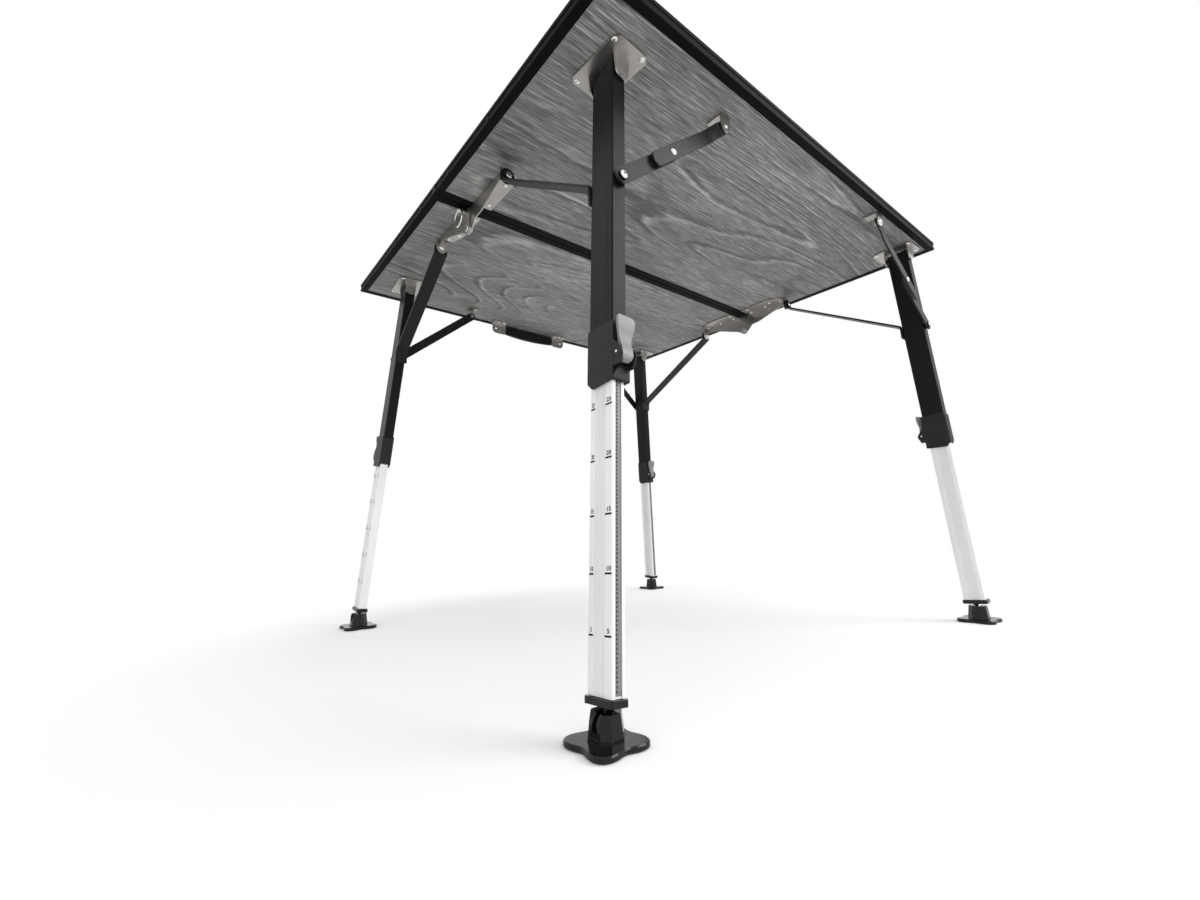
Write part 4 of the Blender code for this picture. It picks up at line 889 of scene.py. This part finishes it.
def ratchet_tree():
    """Dark blocks in a row down the track, painted shade standing for the ratchet holes: a line of points with a
    block on each.
    """
    tree = bpy.data.node_groups.new("hole_shade_row", "GeometryNodeTree")
    tree.interface.new_socket("Geometry", in_out="INPUT", socket_type="NodeSocketGeometry")
    count = node_input(tree, "Count", "NodeSocketInt", 80)
    step = node_input(tree, "Step", "NodeSocketVector", (0, 0, -HOLE_PITCH))
    start_at = node_input(tree, "Start", "NodeSocketVector", (0, 0, 0))
    turn = node_input(tree, "Turn", "NodeSocketRotation", (0, 0, 0))
    size = node_input(tree, "Size", "NodeSocketVector", HOLE_SIZE)
    tree.interface.new_socket("Geometry", in_out="OUTPUT", socket_type="NodeSocketGeometry")
    nodes = tree.nodes
    start = nodes.new("NodeGroupInput")
    end = nodes.new("NodeGroupOutput")
    line = nodes.new("GeometryNodeMeshLine")
    line.mode = "OFFSET"
    hole_shade_block = nodes.new("GeometryNodeMeshCube")
    place = nodes.new("GeometryNodeInstanceOnPoints")
    real = nodes.new("GeometryNodeRealizeInstances")
    coat = nodes.new("GeometryNodeSetMaterial")
    set_input(coat, "Material", PAINTED_HOLE_SHADE)
    link = tree.links.new
    link(start.outputs["Count"], line.inputs["Count"])
    link(start.outputs["Start"], line.inputs["Start Location"])
    link(start.outputs["Step"], line.inputs["Offset"])
    link(start.outputs["Size"], hole_shade_block.inputs["Size"])
    link(line.outputs["Mesh"], place.inputs["Points"])
    link(hole_shade_block.outputs["Mesh"], place.inputs["Instance"])
    link(start.outputs["Turn"], place.inputs["Rotation"])
    link(place.outputs["Instances"], real.inputs["Geometry"])
    link(real.outputs["Geometry"], coat.inputs["Geometry"])
    link(coat.outputs["Geometry"], end.inputs["Geometry"])
    return tree, {"Count": count, "Step": step, "Start": start_at, "Turn": turn, "Size": size}


def ratchets():
    """A row of dark blocks down the track of each inner tube: painted shade of the ratchet holes."""
    tree, sockets = ratchet_tree()
    for name, leg in FRAMES.items():
        scratch = placed("scratch", bpy.data.meshes.new("seed"))
        modifier = scratch.modifiers.new("Row", "NODES")
        modifier.node_group = tree
        face = leg.lever_side * (INNER_X - TRACK_DEPTH)
        first = INNER_TOP + HOLES_FROM
        axes = Matrix((leg.outward, leg.up.cross(leg.outward), leg.up)).transposed()
        modifier[sockets["Count"]] = int((INNER_END - first) / HOLE_PITCH)
        modifier[sockets["Step"]] = tuple(-leg.up * HOLE_PITCH)
        modifier[sockets["Start"]] = tuple(leg.point(face, -HOLE_PLACE, first))
        modifier[sockets["Turn"]] = tuple(axes.to_euler())
        result = evaluated_mesh(scratch)
        bpy.data.objects.remove(scratch)
        piece_from(f"{name}_hole_shade_row", result, f"{name}_lower_leg", "dark_sleeve", PAINTED_HOLE_SHADE)


# Floor, light and camera


def pale_floor():
    """Pale floor that the camera sees as white away from the object's shadow."""
    finish = Finish("pale_floor")
    tree = finish.tree
    finish.set(Roughness=0.9)
    mottled = finish.noise(finish.coordinates, 3.0, 2.0)
    finish.colour(finish.ramp(mottled, (0.3, (0.85, 0.85, 0.85)), (0.7, (0.87, 0.87, 0.87))))
    rays = tree.nodes.new("ShaderNodeLightPath")
    lift = tree.nodes.new("ShaderNodeEmission")
    glow = finish.math("MULTIPLY", rays.outputs["Is Camera Ray"], FLOOR_LIFT)
    finish.link(glow, lift.inputs["Strength"])
    both = tree.nodes.new("ShaderNodeAddShader")
    finish.link(finish.shader.outputs[0], both.inputs[0])
    finish.link(lift.outputs[0], both.inputs[1])
    white = tree.nodes.new("ShaderNodeEmission")
    length = tree.nodes.new("ShaderNodeVectorMath")
    length.operation = "LENGTH"
    finish.link(finish.coordinates, length.inputs[0])
    away = finish.math("SUBTRACT", length.outputs["Value"], SHADOW_NEAR)
    away = finish.math("DIVIDE", away, SHADOW_FAR - SHADOW_NEAR, clamp=True)
    away = finish.math("MULTIPLY", away, rays.outputs["Is Camera Ray"])
    blend = tree.nodes.new("ShaderNodeMixShader")
    finish.link(away, blend.inputs["Fac"])
    finish.link(both.outputs[0], blend.inputs[1])
    finish.link(white.outputs[0], blend.inputs[2])
    output = [node for node in tree.nodes if node.type == "OUTPUT_MATERIAL"][0]
    finish.link(blend.outputs[0], output.inputs["Surface"])
    bm = bmesh.new()
    bmesh.ops.create_circle(bm, cap_ends=True, segments=64, radius=FLOOR_RADIUS)
    mesh = finished_mesh(bm, "floor")
    mesh.materials.append(finish.material)
    floor = placed("floor", mesh)
    floor.location = (0, 0, -FLOOR_DROP)


def white_surround():
    """White to the camera and in reflections; as light it is brighter on one side."""
    world = bpy.data.worlds.new("surround")
    bpy.context.scene.world = world
    world.use_nodes = True
    tree = world.node_tree
    background = tree.nodes["Background"]
    set_input(background, "Color", (1.0, 1.0, 1.0, 1.0))
    direction = tree.nodes.new("ShaderNodeTexCoord")
    side = tree.nodes.new("ShaderNodeVectorMath")
    side.operation = "DOT_PRODUCT"
    side.inputs[1].default_value = BRIGHT_SIDE
    ramp = tree.nodes.new("ShaderNodeMapRange")
    ramp.interpolation_type = "SMOOTHSTEP"
    set_input(ramp, "From Min", SIDE_FROM)
    set_input(ramp, "From Max", SIDE_TO)
    set_input(ramp, "To Min", DIM_STRENGTH)
    set_input(ramp, "To Max", BRIGHT_STRENGTH)
    rays = tree.nodes.new("ShaderNodeLightPath")
    seen = tree.nodes.new("ShaderNodeMath")
    seen.operation = "MAXIMUM"
    seen.use_clamp = True
    mirrored = tree.nodes.new("ShaderNodeMath")
    mirrored.operation = "MAXIMUM"
    strength = tree.nodes.new("ShaderNodeMix")
    set_input(strength, "B", 1.0)
    tree.links.new(direction.outputs["Generated"], side.inputs[0])
    tree.links.new(side.outputs["Value"], ramp.inputs["Value"])
    tree.links.new(ramp.outputs["Result"], strength.inputs["A"])
    tree.links.new(rays.outputs["Is Glossy Ray"], mirrored.inputs[0])
    tree.links.new(rays.outputs["Is Transmission Ray"], mirrored.inputs[1])
    tree.links.new(rays.outputs["Is Camera Ray"], seen.inputs[0])
    tree.links.new(mirrored.outputs["Value"], seen.inputs[1])
    tree.links.new(seen.outputs["Value"], strength.inputs["Factor"])
    tree.links.new(strength.outputs["Result"], background.inputs["Strength"])


def soft_lamp(name, place, aim, size, power):
    """A round lamp that faces the place it is aimed at."""
    light = bpy.data.lights.new(name, "AREA")
    light.shape = "DISK"
    light.size = size
    light.energy = power
    direction = Vector(aim) - Vector(place)
    turn = direction.to_track_quat("-Z", "Y").to_matrix().to_4x4()
    placed(name, light).matrix_world = Matrix.Translation(place) @ turn


def photo_camera():
    """The camera that took the photograph, from the place and turns fitted to it."""
    yaw = math.radians(CAMERA_YAW)
    pitch = math.radians(CAMERA_PITCH)
    roll = math.radians(CAMERA_ROLL)
    forward = Vector((math.cos(yaw) * math.cos(pitch), math.sin(yaw) * math.cos(pitch),
                      math.sin(pitch)))
    level = forward.cross(Vector((0, 0, 1))).normalized()
    above = level.cross(forward)
    right = math.cos(roll) * level + math.sin(roll) * above
    up = math.cos(roll) * above - math.sin(roll) * level
    data = bpy.data.cameras.new("photo_camera")
    data.sensor_width = SENSOR_WIDTH
    data.lens = FOCAL_PIXELS / PHOTO_WIDTH * data.sensor_width
    data.shift_x = (PHOTO_WIDTH / 2 - PRINCIPAL_X) / PHOTO_WIDTH
    data.shift_y = (PRINCIPAL_Y - PHOTO_HEIGHT / 2) / PHOTO_WIDTH
    data.clip_start = NEAR_CLIP
    camera = placed("photo_camera", data)
    turn = Matrix((right, up, -forward)).transposed().to_4x4()
    place = Vector(CAMERA_PLACE) + Vector((0, CENTRE_Y, 0))
    camera.matrix_world = Matrix.Translation(place) @ turn
    bpy.context.scene.camera = camera


soften_all()
plate_rivets()
leg_bracket_rivets()
knee_rivets()
fold_bolts()
lever_pins()
rail_fittings()
tube_lines()
foot_ridges()
inner_tubes()
scale_print()
ratchet_strips()
ratchets()
pale_floor()
white_surround()
for lamp_name, lamp in LAMPS.items():
    soft_lamp(lamp_name, **lamp)
photo_camera()
bpy.context.scene.view_settings.view_transform = "Standard"
